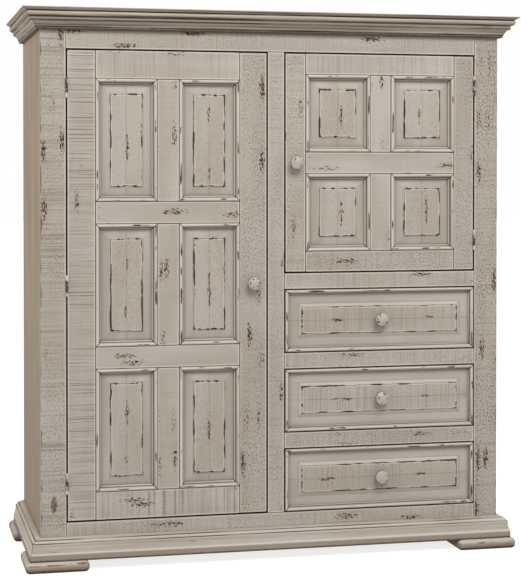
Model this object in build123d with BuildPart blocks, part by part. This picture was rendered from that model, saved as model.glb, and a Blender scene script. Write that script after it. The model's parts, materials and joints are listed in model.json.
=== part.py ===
from build123d import *
import os

# A wide, low armoire in pine: a tall panelled door on the left, a short panelled door on the right and
# three drawers below it. Millimetres, +Z up, front towards -Y. The origin is on the floor, under the
# middle of the armoire's outline. Depths are measured back from the front face of the face frame.

# Case
BODY_WIDTH = 1250.0
BODY_DEPTH = 505.0
FACE_HEIGHT = 1313.0
SIDE_THICKNESS = 20.0
TOP_THICKNESS = 20.0
FLOOR_THICKNESS = 20.0
PARTITION_THICKNESS = 20.0
DECK_THICKNESS = 18.0
REAR_RAIL_THICKNESS = 22.0
DADO_DEPTH = 6.0
BACK_THICKNESS = 9.0
BACK_REBATE = 10.0
BACK_BOARD_COUNT = 10
BACK_BOARD_GAP = 0.5
BACK_BOARD_CHAMFER = 2.0

# Face frame
FRAME_THICKNESS = 22.0
POST_WIDTH = 66.0
CENTER_STILE_WIDTH = 45.0
TOP_RAIL_FACE = 48.0
BOTTOM_RAIL_FACE = 36.0
DRAWER_RAIL_HEIGHT = 42.0
TENON_LENGTH = 20.0
TENON_THICKNESS = 8.0
TENON_SHOULDER = 7.0
EASED_EDGE = 0.8

# Crown moulding
CROWN_HEIGHT = 55.0
CROWN_PROJECTION = 48.0
CROWN_FOOT = 11.0
CROWN_FOOT_HEIGHT = 7.0
CROWN_STEP = 1.5
CROWN_COVE_BULGE = 2.6
CROWN_BAND_HEIGHT = 9.0
CROWN_BAND_SETBACK = 5.0
CROWN_BEAD_HEIGHT = 14.0
CROWN_BEAD_LEAN = 3.0
CROWN_BEAD_BULGE = 4.0
CROWN_LIP_RUN = 12.0
CROWN_LIP_RISE = 7.0
CROWN_LIP_EDGE = 2.0

# Base moulding and feet
PLINTH_HEIGHT = 57.0
PLINTH_PROJECTION = 30.0
PLINTH_FASCIA = 20.0
PLINTH_COVE_HEIGHT = 18.0
PLINTH_COVE_RUN = 5.5
PLINTH_COVE_BULGE = 2.0
PLINTH_QUIRK = 1.5
PLINTH_LEDGE = 2.0
PLINTH_NOSE_BULGE = 4.5
FOOT_HEIGHT = 28.0
FOOT_PROJECTION = 43.0
FOOT_LENGTH = 165.0
FOOT_ROUND_SHARE = 0.43

# Doors
DOOR_THICKNESS = 22.0
DOOR_GAP = 3.5
TALL_STILE_WIDTH = 73.0
TALL_RAIL_HEIGHT = 73.0
TALL_ROWS = 3
SHORT_STILE_WIDTH = 55.5
SHORT_RAIL_HEIGHT = 55.0
SHORT_ROWS = 2
MIDDLE_RAIL_HEIGHT = 58.0
MUNTIN_WIDTH = 58.0
GROOVE_SETBACK = 11.0
GROOVE_WIDTH = 7.0
GROOVE_DEPTH = 10.0
TONGUE_FIT = 0.15
TONGUE_END_GAP = 0.5
PANEL_PLAY = 1.5
PANEL_BEVEL = 22.0
FIELD_SETBACK = 3.5
FIELD_STEP = 2.5

# Mitred mouldings round the panels and the drawer fronts
PANEL_MOULDING_WIDTH = 14.5
DRAWER_MOULDING_WIDTH = 13.0
MOULDING_PROUD = 4.5
MOULDING_BEAD = 9.5
MOULDING_BEAD_BULGE = 4.2
MOULDING_QUIRK = 1.5
MOULDING_INNER_EDGE = 3.0
MOULDING_COVE_BULGE = 0.8
MITRE_GAP = 0.3

# Knobs
KNOB_DIAMETER = 38.0
KNOB_PROJECTION = 29.0
KNOB_BASE_DIAMETER = 22.0
KNOB_BASE_HEIGHT = 2.0
KNOB_NECK_BULGE = 3.5
KNOB_RIM_HEIGHT = 8.0
KNOB_RIM_INSET = 2.0
KNOB_DOME_RISE = 4.5
KNOB_TENON_DIAMETER = 12.0
KNOB_TENON_LENGTH = 15.0
KNOB_TENON_FIT = 0.1
KNOB_HOLE_SPARE = 1.0

# Hinges
HINGE_HEIGHT = 50.0
HINGE_KNUCKLES = 5
KNUCKLE_RADIUS = 3.5
KNUCKLE_GAP = 0.3
KNUCKLE_STANDOFF = 0.3
HINGE_PIN_RADIUS = 1.5
HINGE_PIN_FIT = 0.05
HINGE_LEAF_PLAY = 0.4
HINGE_LEAF_DEPTH = 19.0
HINGE_TIP_RADIUS = 3.2
HINGE_TIP_HEIGHT = 3.0
TALL_HINGE_INSET = 101.0
SHORT_HINGE_INSET = 84.0

# Drawers, named from the bottom up
DRAWER_NAMES = ("bottom_drawer", "middle_drawer", "top_drawer")
DRAWER_OPENING_HEIGHT = 171.0
DRAWER_GAP = 2.5
DRAWER_FRONT_THICKNESS = 20.0
DRAWER_MARGIN_SETBACK = 8.0
DRAWER_MARGIN = 25.0
DRAWER_FIELD_CHAMFER = 8.5
DRAWER_FIELD_RAISE = 5.0
DRAWER_REAR_GAP = 28.0
DRAWER_SIDE_THICKNESS = 15.0
DRAWER_SIDE_HEIGHT = 140.0
DRAWER_SIDE_CLEARANCE = 2.0
DRAWER_LIFT = 8.0
DRAWER_BOTTOM_THICKNESS = 6.0
DRAWER_BOTTOM_INSET = 6.0
DRAWER_BOTTOM_LIFT = 10.0
DRAWER_BACK_SETBACK = 12.0
DRAWER_BACK_DADO = 5.0
DOVETAIL_MOUTH = 9.0
DOVETAIL_ROOT = 12.0
DOVETAIL_DEPTH = 9.0
RUNNER_HEIGHT = 18.0
RUNNER_REACH = 8.0
RUNNER_FIT = 0.3
RUNNER_REAR_GAP = 6.0

# Shelves and catches
SHELF_THICKNESS = 18.0
SHELF_SETBACK = 6.0
SHELF_END_GAP = 1.0
SHELF_NOSE = 3.0
TALL_SHELF_COUNT = 3
SHORT_SHELF_COUNT = 1
CLEAT_SIZE = 18.0
CLEAT_CHAMFER = 3.0
CATCH_WIDTH = 44.0
CATCH_DEPTH = 16.0
CATCH_HEIGHT = 14.0
CATCH_CORNER = 2.0
CATCH_INSET = 6.0
CATCH_GAP = 0.4
STRIKE_WIDTH = 36.0
STRIKE_HEIGHT = 12.0
STRIKE_THICKNESS = 1.2

# Clearance at the ends of boards in dados, and round tenons in mortises
JOINT_FIT = 0.1

# Levels and planes that everything else is placed by
HALF_WIDTH = BODY_WIDTH / 2
FACE_Y = CROWN_PROJECTION - (BODY_DEPTH + CROWN_PROJECTION) / 2
FRAME_BACK_Y = FACE_Y + FRAME_THICKNESS
DOOR_BACK_Y = FACE_Y + DOOR_THICKNESS
BACK_Y = FACE_Y + BODY_DEPTH
BACK_BOARD_Y = BACK_Y - BACK_THICKNESS
SIDE_INNER_X = HALF_WIDTH - SIDE_THICKNESS
PARTITION_X = PARTITION_THICKNESS / 2
PLINTH_TOP = FOOT_HEIGHT + PLINTH_HEIGHT
CROWN_BOTTOM = PLINTH_TOP + FACE_HEIGHT
OVERALL_HEIGHT = CROWN_BOTTOM + CROWN_HEIGHT
CASE_TOP = OVERALL_HEIGHT - TOP_THICKNESS
OPENING_BOTTOM = PLINTH_TOP + BOTTOM_RAIL_FACE
OPENING_TOP = CROWN_BOTTOM - TOP_RAIL_FACE
OPENING_OUTER_X = HALF_WIDTH - POST_WIDTH
OPENING_INNER_X = CENTER_STILE_WIDTH / 2
FLOOR_BOTTOM = OPENING_BOTTOM - FLOOR_THICKNESS
DRAWER_PITCH = DRAWER_OPENING_HEIGHT + DRAWER_RAIL_HEIGHT
DRAWER_LEVELS = [OPENING_BOTTOM + row * DRAWER_PITCH for row in range(len(DRAWER_NAMES))]
DECK_TOP = OPENING_BOTTOM + len(DRAWER_NAMES) * DRAWER_PITCH
DRAWER_BACK_Y = FACE_Y + DRAWER_MARGIN_SETBACK + DRAWER_FRONT_THICKNESS
DRAWER_REAR_Y = BACK_BOARD_Y - DRAWER_REAR_GAP
DRAWER_LEFT_X = OPENING_INNER_X + DRAWER_SIDE_CLEARANCE
DRAWER_RIGHT_X = OPENING_OUTER_X - DRAWER_SIDE_CLEARANCE
SHELF_FRONT_Y = max(FRAME_BACK_Y, DOOR_BACK_Y) + SHELF_SETBACK
HINGE_Y = FACE_Y - KNUCKLE_RADIUS - KNUCKLE_STANDOFF
TONGUE_FRONT = GROOVE_SETBACK + TONGUE_FIT
TONGUE_BACK = GROOVE_SETBACK + GROOVE_WIDTH - TONGUE_FIT
TONGUE_LENGTH = GROOVE_DEPTH - TONGUE_END_GAP

# Spans of the face frame's rails: lowest and highest X, lowest and highest Z
TOP_RAIL = (-OPENING_OUTER_X, OPENING_OUTER_X, OPENING_TOP, CASE_TOP)
BOTTOM_RAIL = (-OPENING_OUTER_X, OPENING_OUTER_X, FOOT_HEIGHT, OPENING_BOTTOM)
SHORT_RAILS = [
    (OPENING_INNER_X, OPENING_OUTER_X, level + DRAWER_OPENING_HEIGHT, level + DRAWER_PITCH)
    for level in DRAWER_LEVELS
]

# Directions, as seen from in front
FORWARD = Vector(0, -1, 0)
BACKWARD = Vector(0, 1, 0)
LEFTWARD = Vector(-1, 0, 0)
RIGHTWARD = Vector(1, 0, 0)
UPWARD = Vector(0, 0, 1)
DOWNWARD = Vector(0, 0, -1)

os.makedirs("parts", exist_ok=True)


# Small helpers

def block(corner, opposite, mode=Mode.ADD):
    """Add or cut a square-edged board between two opposite corners."""
    size = [abs(far - near) for near, far in zip(corner, opposite)]
    middle = [(far + near) / 2 for near, far in zip(corner, opposite)]
    with Locations(tuple(middle)):
        Box(*size, mode=mode)


def front_plane(depth):
    """The upright plane at a depth behind the face. Its normal looks out of the front."""
    return Plane.XZ.offset(-(FACE_Y + depth))


def save(piece, name):
    """Label a finished piece and write it."""
    piece.label = name
    export_step(piece, f"parts/{name}.step")


def save_group(pieces, name):
    """Write a set of like pieces as one group of separate solids."""
    save(Compound(children=list(pieces)), name)


def ease_front_edges():
    """Break the sharp edges round the board's front face."""
    near_face = EASED_EDGE / 2
    chamfer(edges().filter_by_position(Axis.Y, FACE_Y - near_face, FACE_Y + near_face), EASED_EDGE)


def mitred_length(profile, corner, along, across, length, flare, start_mitre=True, end_mitre=True):
    """One length of moulding, with its profile's x axis along across, cut at 45 degrees at its mitred ends.

    A flare above 0 is the profile's reach round an outside corner. A flare of 0 is an inside corner.
    """
    turn = across if flare else across * -1
    start = corner - along * (flare if start_mitre else 0)
    run = length + flare * (start_mitre + end_mitre)
    with BuildPart() as strip:
        with BuildSketch(Plane(origin=start, x_dir=across, z_dir=along)):
            add(profile)
        extrude(amount=run)
        if start_mitre:
            split(bisect_by=Plane(origin=corner + along * (MITRE_GAP / 2), z_dir=along + turn))
        if end_mitre:
            split(bisect_by=Plane(origin=corner + along * (length - MITRE_GAP / 2), z_dir=turn - along))
    return strip.part


# Case boards

def side_panel(side):
    """A side of the case: -1 is the left one. Dados hold the floor and the deck, a rebate holds the back."""
    inner = side * SIDE_INNER_X
    with BuildPart() as panel:
        block((side * HALF_WIDTH, FRAME_BACK_Y, FOOT_HEIGHT), (inner, BACK_Y, CASE_TOP))
        dado = inner + side * DADO_DEPTH
        block((inner, FRAME_BACK_Y, FLOOR_BOTTOM), (dado, BACK_BOARD_Y, OPENING_BOTTOM), Mode.SUBTRACT)
        if side > 0:
            deck_bottom = DECK_TOP - DECK_THICKNESS
            block((inner, FRAME_BACK_Y, deck_bottom), (dado, BACK_BOARD_Y, DECK_TOP), Mode.SUBTRACT)
        rebate = inner + side * BACK_REBATE
        block((inner, BACK_BOARD_Y, FLOOR_BOTTOM), (rebate, BACK_Y, CASE_TOP), Mode.SUBTRACT)
    return panel.part


save(side_panel(-1), "left_side_panel")
save(side_panel(1), "right_side_panel")

PARTITION_LOW = (-PARTITION_X, FRAME_BACK_Y, OPENING_BOTTOM - DADO_DEPTH)
PARTITION_HIGH = (PARTITION_X, BACK_BOARD_Y, CASE_TOP + DADO_DEPTH)

with BuildPart() as top_panel:
    block((-HALF_WIDTH, FACE_Y, CASE_TOP), (HALF_WIDTH, BACK_Y, OVERALL_HEIGHT))
    block(PARTITION_LOW, PARTITION_HIGH, Mode.SUBTRACT)
save(top_panel.part, "top_panel")

with BuildPart() as floor_panel:
    floor_reach = SIDE_INNER_X + DADO_DEPTH - JOINT_FIT
    block((-floor_reach, FRAME_BACK_Y, FLOOR_BOTTOM), (floor_reach, BACK_BOARD_Y, OPENING_BOTTOM))
    block(PARTITION_LOW, PARTITION_HIGH, Mode.SUBTRACT)
save(floor_panel.part, "floor_panel")

with BuildPart() as partition:
    block(PARTITION_LOW, PARTITION_HIGH)
    block(
        (PARTITION_X - DADO_DEPTH, FRAME_BACK_Y, DECK_TOP - DECK_THICKNESS),
        (PARTITION_X, BACK_BOARD_Y, DECK_TOP),
        Mode.SUBTRACT,
    )
save(partition.part, "partition")

with BuildPart() as drawer_deck:
    block(
        (PARTITION_X - DADO_DEPTH + JOINT_FIT, FRAME_BACK_Y, DECK_TOP - DECK_THICKNESS),
        (SIDE_INNER_X + DADO_DEPTH - JOINT_FIT, BACK_BOARD_Y, DECK_TOP),
    )
save(drawer_deck.part, "drawer_deck")

with BuildPart() as rear_rail:
    block((-SIDE_INNER_X, BACK_Y - REAR_RAIL_THICKNESS, FOOT_HEIGHT), (SIDE_INNER_X, BACK_Y, FLOOR_BOTTOM))
save(rear_rail.part, "rear_rail")


def back_board(x_low, x_high):
    """One upright board of the back, with chamfered long edges."""
    with BuildPart() as board:
        block((x_low, BACK_BOARD_Y, FLOOR_BOTTOM), (x_high, BACK_Y, CASE_TOP))
        chamfer(board.edges().filter_by(Axis.Z), BACK_BOARD_CHAMFER)
    return board.part


back_edge = SIDE_INNER_X + BACK_REBATE - JOINT_FIT
board_pitch = (2 * back_edge + BACK_BOARD_GAP) / BACK_BOARD_COUNT
board_starts = [-back_edge + place * board_pitch for place in range(BACK_BOARD_COUNT)]
save_group((back_board(x, x + board_pitch - BACK_BOARD_GAP) for x in board_starts), "back_boards")


# Face frame, joined with mortises and tenons

def rail_tenons(x_low, x_high, z_low, z_high, fit=0.0, mode=Mode.ADD):
    """The tenons at both ends of a rail, or with a fit, the mortises that they go into."""
    front = FACE_Y + (FRAME_THICKNESS - TENON_THICKNESS) / 2
    block(
        (x_low - TENON_LENGTH - fit, front - fit, z_low + TENON_SHOULDER - fit),
        (x_high + TENON_LENGTH + fit, front + TENON_THICKNESS + fit, z_high - TENON_SHOULDER + fit),
        mode,
    )


def stile_tenons(fit=0.0, mode=Mode.ADD):
    """The centre stile's tenons, or with a fit, their mortises in the top and bottom rails."""
    front = FACE_Y + (FRAME_THICKNESS - TENON_THICKNESS) / 2
    reach = OPENING_INNER_X - TENON_SHOULDER + fit
    block(
        (-reach, front - fit, OPENING_BOTTOM - TENON_LENGTH - fit),
        (reach, front + TENON_THICKNESS + fit, OPENING_TOP + TENON_LENGTH + fit),
        mode,
    )


def rail_board(x_low, x_high, z_low, z_high):
    """A rail of the face frame with its tenons."""
    block((x_low, FACE_Y, z_low), (x_high, FRAME_BACK_Y, z_high))
    ease_front_edges()
    rail_tenons(x_low, x_high, z_low, z_high)


def post(side):
    """A corner post of the face frame: -1 is the left one."""
    rails = [TOP_RAIL, BOTTOM_RAIL] + (SHORT_RAILS if side > 0 else [])
    with BuildPart() as upright:
        block((side * HALF_WIDTH, FACE_Y, FOOT_HEIGHT), (side * OPENING_OUTER_X, FRAME_BACK_Y, CASE_TOP))
        ease_front_edges()
        for rail in rails:
            rail_tenons(*rail, fit=JOINT_FIT, mode=Mode.SUBTRACT)
    return upright.part


save(post(-1), "left_post")
save(post(1), "right_post")

with BuildPart() as center_stile:
    block((-OPENING_INNER_X, FACE_Y, OPENING_BOTTOM), (OPENING_INNER_X, FRAME_BACK_Y, OPENING_TOP))
    ease_front_edges()
    stile_tenons()
    for rail in SHORT_RAILS:
        rail_tenons(*rail, fit=JOINT_FIT, mode=Mode.SUBTRACT)
save(center_stile.part, "center_stile")

with BuildPart() as top_rail:
    rail_board(*TOP_RAIL)
    stile_tenons(fit=JOINT_FIT, mode=Mode.SUBTRACT)
save(top_rail.part, "top_rail")

with BuildPart() as bottom_rail:
    rail_board(*BOTTOM_RAIL)
    stile_tenons(fit=JOINT_FIT, mode=Mode.SUBTRACT)
save(bottom_rail.part, "bottom_rail")


def short_rail(span):
    """A rail between the centre stile and the right post."""
    with BuildPart() as board:
        rail_board(*span)
    return board.part


save(short_rail(SHORT_RAILS[-1]), "middle_rail")
save_group((short_rail(span) for span in SHORT_RAILS[:-1]), "drawer_rails")


# Crown: foot, cove, flat band, bead and a slanted lip, from the bottom up

def crown_profile():
    lip_bottom = CROWN_HEIGHT - CROWN_LIP_EDGE - CROWN_LIP_RISE
    bead_top = (CROWN_PROJECTION - CROWN_LIP_RUN, lip_bottom)
    bead_bottom = (bead_top[0] - CROWN_BEAD_LEAN, lip_bottom - CROWN_BEAD_HEIGHT)
    band_x = bead_bottom[0] - CROWN_BAND_SETBACK
    band_top = bead_bottom[1] - CROWN_STEP
    band_bottom = band_top - CROWN_BAND_HEIGHT
    cove_bottom = (CROWN_FOOT + 2 * CROWN_STEP, CROWN_FOOT_HEIGHT)
    cove_top = (band_x - CROWN_STEP, band_bottom)
    with BuildSketch() as section:
        with BuildLine():
            Polyline(
                cove_bottom,
                (CROWN_FOOT + CROWN_STEP, CROWN_FOOT_HEIGHT),
                (CROWN_FOOT, 0),
                (0, 0),
                (0, CROWN_HEIGHT),
                (CROWN_PROJECTION, CROWN_HEIGHT),
                (CROWN_PROJECTION, CROWN_HEIGHT - CROWN_LIP_EDGE),
                bead_top,
            )
            SagittaArc(bead_top, bead_bottom, CROWN_BEAD_BULGE)
            Polyline(bead_bottom, (band_x, band_top), (band_x, band_bottom), cove_top)
            SagittaArc(cove_top, cove_bottom, -CROWN_COVE_BULGE)
        make_face()
    return section.sketch


# Base moulding: fascia, cove, quirk and a rounded nose, from the bottom up

def plinth_profile():
    cove_bottom = (PLINTH_PROJECTION, PLINTH_FASCIA)
    cove_top = (PLINTH_PROJECTION - PLINTH_COVE_RUN, PLINTH_FASCIA + PLINTH_COVE_HEIGHT)
    nose_bottom = (cove_top[0] - PLINTH_QUIRK, cove_top[1])
    nose_top = (PLINTH_LEDGE, PLINTH_HEIGHT)
    with BuildSketch() as section:
        with BuildLine():
            Polyline(nose_top, (0, PLINTH_HEIGHT), (0, 0), (PLINTH_PROJECTION, 0), cove_bottom)
            SagittaArc(cove_bottom, cove_top, PLINTH_COVE_BULGE)
            Line(cove_top, nose_bottom)
            SagittaArc(nose_bottom, nose_top, -PLINTH_NOSE_BULGE)
        make_face()
    return section.sketch


def case_moulding(profile, projection, level, name):
    """A moulding round the front and both sides of the case, in three mitred lengths."""
    front_right = Vector(HALF_WIDTH, FACE_Y, level)
    front_left = Vector(-HALF_WIDTH, FACE_Y, level)
    back_right = Vector(HALF_WIDTH, BACK_Y, level)
    front = mitred_length(profile, front_right, LEFTWARD, FORWARD, BODY_WIDTH, projection)
    left = mitred_length(profile, front_left, BACKWARD, LEFTWARD, BODY_DEPTH, projection, end_mitre=False)
    right = mitred_length(profile, back_right, FORWARD, RIGHTWARD, BODY_DEPTH, projection, start_mitre=False)
    save(front, f"{name}_front")
    save(left, f"{name}_left")
    save(right, f"{name}_right")


case_moulding(crown_profile(), CROWN_PROJECTION, CROWN_BOTTOM, "crown")
case_moulding(plinth_profile(), PLINTH_PROJECTION, FOOT_HEIGHT, "plinth")


# Feet: flat pads with bullnosed edges, square only where they meet the wall

def foot(side, y_low, y_high):
    outer = side * (HALF_WIDTH + FOOT_PROJECTION)
    with BuildPart() as pad:
        block((outer, y_low, 0), (outer - side * FOOT_LENGTH, y_high, FOOT_HEIGHT))
        rounded = pad.edges().filter_by(lambda edge: edge.center().Y < BACK_Y - JOINT_FIT)
        fillet(rounded, FOOT_ROUND_SHARE * FOOT_HEIGHT)
    return pad.part


front_foot_y = FACE_Y - FOOT_PROJECTION
save_group((foot(side, front_foot_y, front_foot_y + FOOT_LENGTH) for side in (-1, 1)), "front_feet")
save_group((foot(side, BACK_Y - FOOT_LENGTH, BACK_Y) for side in (-1, 1)), "rear_feet")


# Shelves on cleats

def shelf_levels(bottom, count):
    """The tops of shelves that share the height above a floor evenly."""
    return [bottom + place * (CASE_TOP - bottom) / (count + 1) for place in range(1, count + 1)]


def shelf(x_low, x_high, top):
    with BuildPart() as board:
        block(
            (x_low + SHELF_END_GAP, SHELF_FRONT_Y, top - SHELF_THICKNESS),
            (x_high - SHELF_END_GAP, BACK_BOARD_Y - SHELF_END_GAP, top),
        )
        fillet(board.faces().sort_by(Axis.Y)[0].edges().filter_by(Axis.X), SHELF_NOSE)
    return board.part


def shelf_cleat(wall, inward, top):
    """A strip on a wall of the case that carries one end of a shelf."""
    with BuildPart() as strip:
        block(
            (wall, SHELF_FRONT_Y, top - SHELF_THICKNESS - CLEAT_SIZE),
            (wall + inward * CLEAT_SIZE, BACK_BOARD_Y, top - SHELF_THICKNESS),
        )
        lower_edges = strip.faces().sort_by(Axis.Z)[0].edges()
        chamfer(lower_edges.sort_by(lambda edge: inward * edge.center().X)[-1], CLEAT_CHAMFER)
    return strip.part


tall_levels = shelf_levels(OPENING_BOTTOM, TALL_SHELF_COUNT)
short_levels = shelf_levels(DECK_TOP, SHORT_SHELF_COUNT)
save_group((shelf(-SIDE_INNER_X, -PARTITION_X, top) for top in tall_levels), "tall_shelves")
save_group((shelf(PARTITION_X, SIDE_INNER_X, top) for top in short_levels), "short_shelf")
tall_cleats = [
    shelf_cleat(wall, inward, top)
    for top in tall_levels
    for wall, inward in ((-SIDE_INNER_X, 1), (-PARTITION_X, -1))
]
short_cleats = [
    shelf_cleat(wall, inward, top)
    for top in short_levels
    for wall, inward in ((PARTITION_X, 1), (SIDE_INNER_X, -1))
]
save_group(tall_cleats + short_cleats, "shelf_cleats")


# Knobs, turned with a round tenon that is glued into the wood behind

def knob(x, z, seat_depth):
    rim = KNOB_DIAMETER / 2
    rim_top = KNOB_PROJECTION - KNOB_DOME_RISE
    rim_bottom = rim_top - KNOB_RIM_HEIGHT
    neck_start = (KNOB_BASE_DIAMETER / 2, KNOB_BASE_HEIGHT)
    rim_start = (rim - KNOB_RIM_INSET, rim_bottom)
    rim_end = (rim - KNOB_RIM_INSET, rim_top)
    seat = Vector(x, FACE_Y + seat_depth, z)
    with BuildPart() as turning:
        with BuildSketch(Plane(origin=seat, x_dir=RIGHTWARD, z_dir=DOWNWARD)):
            with BuildLine():
                Polyline(
                    (0, KNOB_PROJECTION),
                    (0, -KNOB_TENON_LENGTH),
                    (KNOB_TENON_DIAMETER / 2, -KNOB_TENON_LENGTH),
                    (KNOB_TENON_DIAMETER / 2, 0),
                    (KNOB_BASE_DIAMETER / 2, 0),
                    neck_start,
                )
                SagittaArc(neck_start, rim_start, KNOB_NECK_BULGE)
                ThreePointArc(rim_start, (rim, (rim_bottom + rim_top) / 2), rim_end)
                TangentArc((0, KNOB_PROJECTION), rim_end, tangent=(1, 0))
            make_face()
        revolve(axis=Axis(seat, FORWARD))
    return turning.part


def knob_hole(x, z, seat_depth):
    """The blind hole for a knob's tenon."""
    with Locations(Plane(origin=(x, FACE_Y + seat_depth, z), x_dir=RIGHTWARD, z_dir=FORWARD)):
        Hole(KNOB_TENON_DIAMETER / 2 + KNOB_TENON_FIT, KNOB_TENON_LENGTH + KNOB_HOLE_SPARE)


# Mitred moulding strips

def bead_profile(width, height):
    """A bead against the frame, then a cove down to the panel. Height is from the seat to the crest."""
    spring = height - MOULDING_BEAD_BULGE
    cove_top = (MOULDING_BEAD, spring - MOULDING_QUIRK)
    cove_bottom = (width, MOULDING_INNER_EDGE)
    bead_inner = (MOULDING_BEAD, spring)
    bead_outer = (0, spring)
    with BuildSketch() as section:
        with BuildLine():
            Polyline(bead_outer, (0, 0), (width, 0), cove_bottom)
            SagittaArc(cove_bottom, cove_top, MOULDING_COVE_BULGE)
            Line(cove_top, bead_inner)
            SagittaArc(bead_inner, bead_outer, -MOULDING_BEAD_BULGE)
        make_face()
    return section.sketch


def moulding_frame(x_low, x_high, z_low, z_high, seat_depth, moulding_width):
    """Four mitred strips inside a rectangle, seated at a depth behind the face."""
    seat = FACE_Y + seat_depth
    width = x_high - x_low
    height = z_high - z_low
    profile = bead_profile(moulding_width, seat_depth + MOULDING_PROUD)
    return [
        mitred_length(profile, Vector(x_low, seat, z_low), RIGHTWARD, UPWARD, width, 0),
        mitred_length(profile, Vector(x_high, seat, z_low), UPWARD, LEFTWARD, height, 0),
        mitred_length(profile, Vector(x_high, seat, z_high), LEFTWARD, DOWNWARD, width, 0),
        mitred_length(profile, Vector(x_low, seat, z_high), DOWNWARD, RIGHTWARD, height, 0),
    ]


# Doors: grooved frames round floating raised panels

class Door:
    """The spans of a door's frame and panels. A hinge side of -1 is on the left."""

    def __init__(self, name, hinge_side, bottom, stile_width, rail_height, rows, hinge_levels, catch_shelf):
        self.name = name
        self.hinge_side = hinge_side
        self.hinge_levels = hinge_levels
        self.hinge_x = hinge_side * (OPENING_OUTER_X - DOOR_GAP / 2)
        self.hinge_edge = hinge_side * (OPENING_OUTER_X - DOOR_GAP)
        self.knob_edge = hinge_side * (OPENING_INNER_X + DOOR_GAP)
        self.hinge_inner = self.hinge_edge - hinge_side * stile_width
        self.knob_inner = self.knob_edge + hinge_side * stile_width
        self.bottom = bottom + DOOR_GAP
        self.top = OPENING_TOP - DOOR_GAP
        self.knob_x = (self.knob_edge + self.knob_inner) / 2
        self.knob_z = (self.bottom + self.top) / 2
        self.catch_x = self.knob_edge + hinge_side * (CATCH_INSET + CATCH_WIDTH / 2)
        self.catch_top = catch_shelf - SHELF_THICKNESS
        self.x_low = min(self.hinge_inner, self.knob_inner)
        self.x_high = max(self.hinge_inner, self.knob_inner)
        column = (self.x_high - self.x_low - MUNTIN_WIDTH) / 2
        self.columns = [(self.x_low, self.x_low + column), (self.x_high - column, self.x_high)]
        clear = self.top - self.bottom - 2 * rail_height - (rows - 1) * MIDDLE_RAIL_HEIGHT
        pitch = clear / rows + MIDDLE_RAIL_HEIGHT
        starts = [self.bottom + rail_height + row * pitch for row in range(rows)]
        self.rows = [(start, start + clear / rows) for start in starts]
        self.panels = [column + row for row in self.rows for column in self.columns]
        rail_edges = [self.bottom] + [edge for row in self.rows for edge in row] + [self.top]
        self.rails = list(zip(rail_edges[0::2], rail_edges[1::2]))


def groove_across(x_low, x_high, z):
    """A panel groove in a level edge."""
    block(
        (x_low, FACE_Y + GROOVE_SETBACK, z - GROOVE_DEPTH),
        (x_high, FACE_Y + GROOVE_SETBACK + GROOVE_WIDTH, z + GROOVE_DEPTH),
        Mode.SUBTRACT,
    )


def groove_upright(x, z_low, z_high):
    """A panel groove in an upright edge."""
    block(
        (x - GROOVE_DEPTH, FACE_Y + GROOVE_SETBACK, z_low),
        (x + GROOVE_DEPTH, FACE_Y + GROOVE_SETBACK + GROOVE_WIDTH, z_high),
        Mode.SUBTRACT,
    )


def door_stile(door, edge, inner, bored=False):
    with BuildPart() as stile:
        block((edge, FACE_Y, door.bottom), (inner, DOOR_BACK_Y, door.top))
        ease_front_edges()
        groove_upright(inner, door.bottom, door.top)
        if bored:
            knob_hole(door.knob_x, door.knob_z, 0)
    return stile.part


def door_rail(door, z_low, z_high):
    """A rail whose end tongues fit the stiles' grooves. Its edges beside panels are grooved."""
    x_low = door.x_low - TONGUE_LENGTH
    x_high = door.x_high + TONGUE_LENGTH
    with BuildPart() as rail:
        block((door.x_low, FACE_Y, z_low), (door.x_high, DOOR_BACK_Y, z_high))
        ease_front_edges()
        block((x_low, FACE_Y + TONGUE_FRONT, z_low), (x_high, FACE_Y + TONGUE_BACK, z_high))
        if z_low > door.bottom:
            groove_across(x_low, x_high, z_low)
        if z_high < door.top:
            groove_across(x_low, x_high, z_high)
    return rail.part


def door_muntin(door, z_low, z_high):
    """An upright bar between two panels, with tongues in the rails' grooves."""
    (_, x_low), (x_high, _) = door.columns
    tongue_low = z_low - TONGUE_LENGTH
    tongue_high = z_high + TONGUE_LENGTH
    with BuildPart() as muntin:
        block((x_low, FACE_Y, z_low), (x_high, DOOR_BACK_Y, z_high))
        ease_front_edges()
        block((x_low, FACE_Y + TONGUE_FRONT, tongue_low), (x_high, FACE_Y + TONGUE_BACK, tongue_high))
        groove_upright(x_low, tongue_low, tongue_high)
        groove_upright(x_high, tongue_low, tongue_high)
    return muntin.part


def inset_rectangle(x_low, x_high, z_low, z_high, depth, inset):
    """A rectangle inside an opening, drawn on the plane at a depth behind the face."""
    with BuildSketch(front_plane(depth)) as outline:
        with Locations(((x_low + x_high) / 2, (z_low + z_high) / 2)):
            Rectangle(x_high - x_low - 2 * inset, z_high - z_low - 2 * inset)
    return outline.sketch


def raised_panel(x_low, x_high, z_low, z_high):
    """A panel with a tongue all round, a long bevel and a stepped field, fielded for one opening."""
    opening = (x_low, x_high, z_low, z_high)
    bevel_top = FIELD_SETBACK + FIELD_STEP
    field_foot = PANEL_MOULDING_WIDTH + PANEL_BEVEL
    tongue = inset_rectangle(*opening, TONGUE_BACK, PANEL_PLAY - GROOVE_DEPTH)
    bevel_foot = inset_rectangle(*opening, TONGUE_FRONT, PANEL_MOULDING_WIDTH)
    bevel_head = inset_rectangle(*opening, bevel_top, field_foot)
    field = inset_rectangle(*opening, FIELD_SETBACK, field_foot + FIELD_STEP)
    with BuildPart() as panel:
        extrude(tongue, amount=TONGUE_BACK - TONGUE_FRONT)
        loft([bevel_foot, bevel_head])
        loft([bevel_head, field])
    return panel.part


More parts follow.
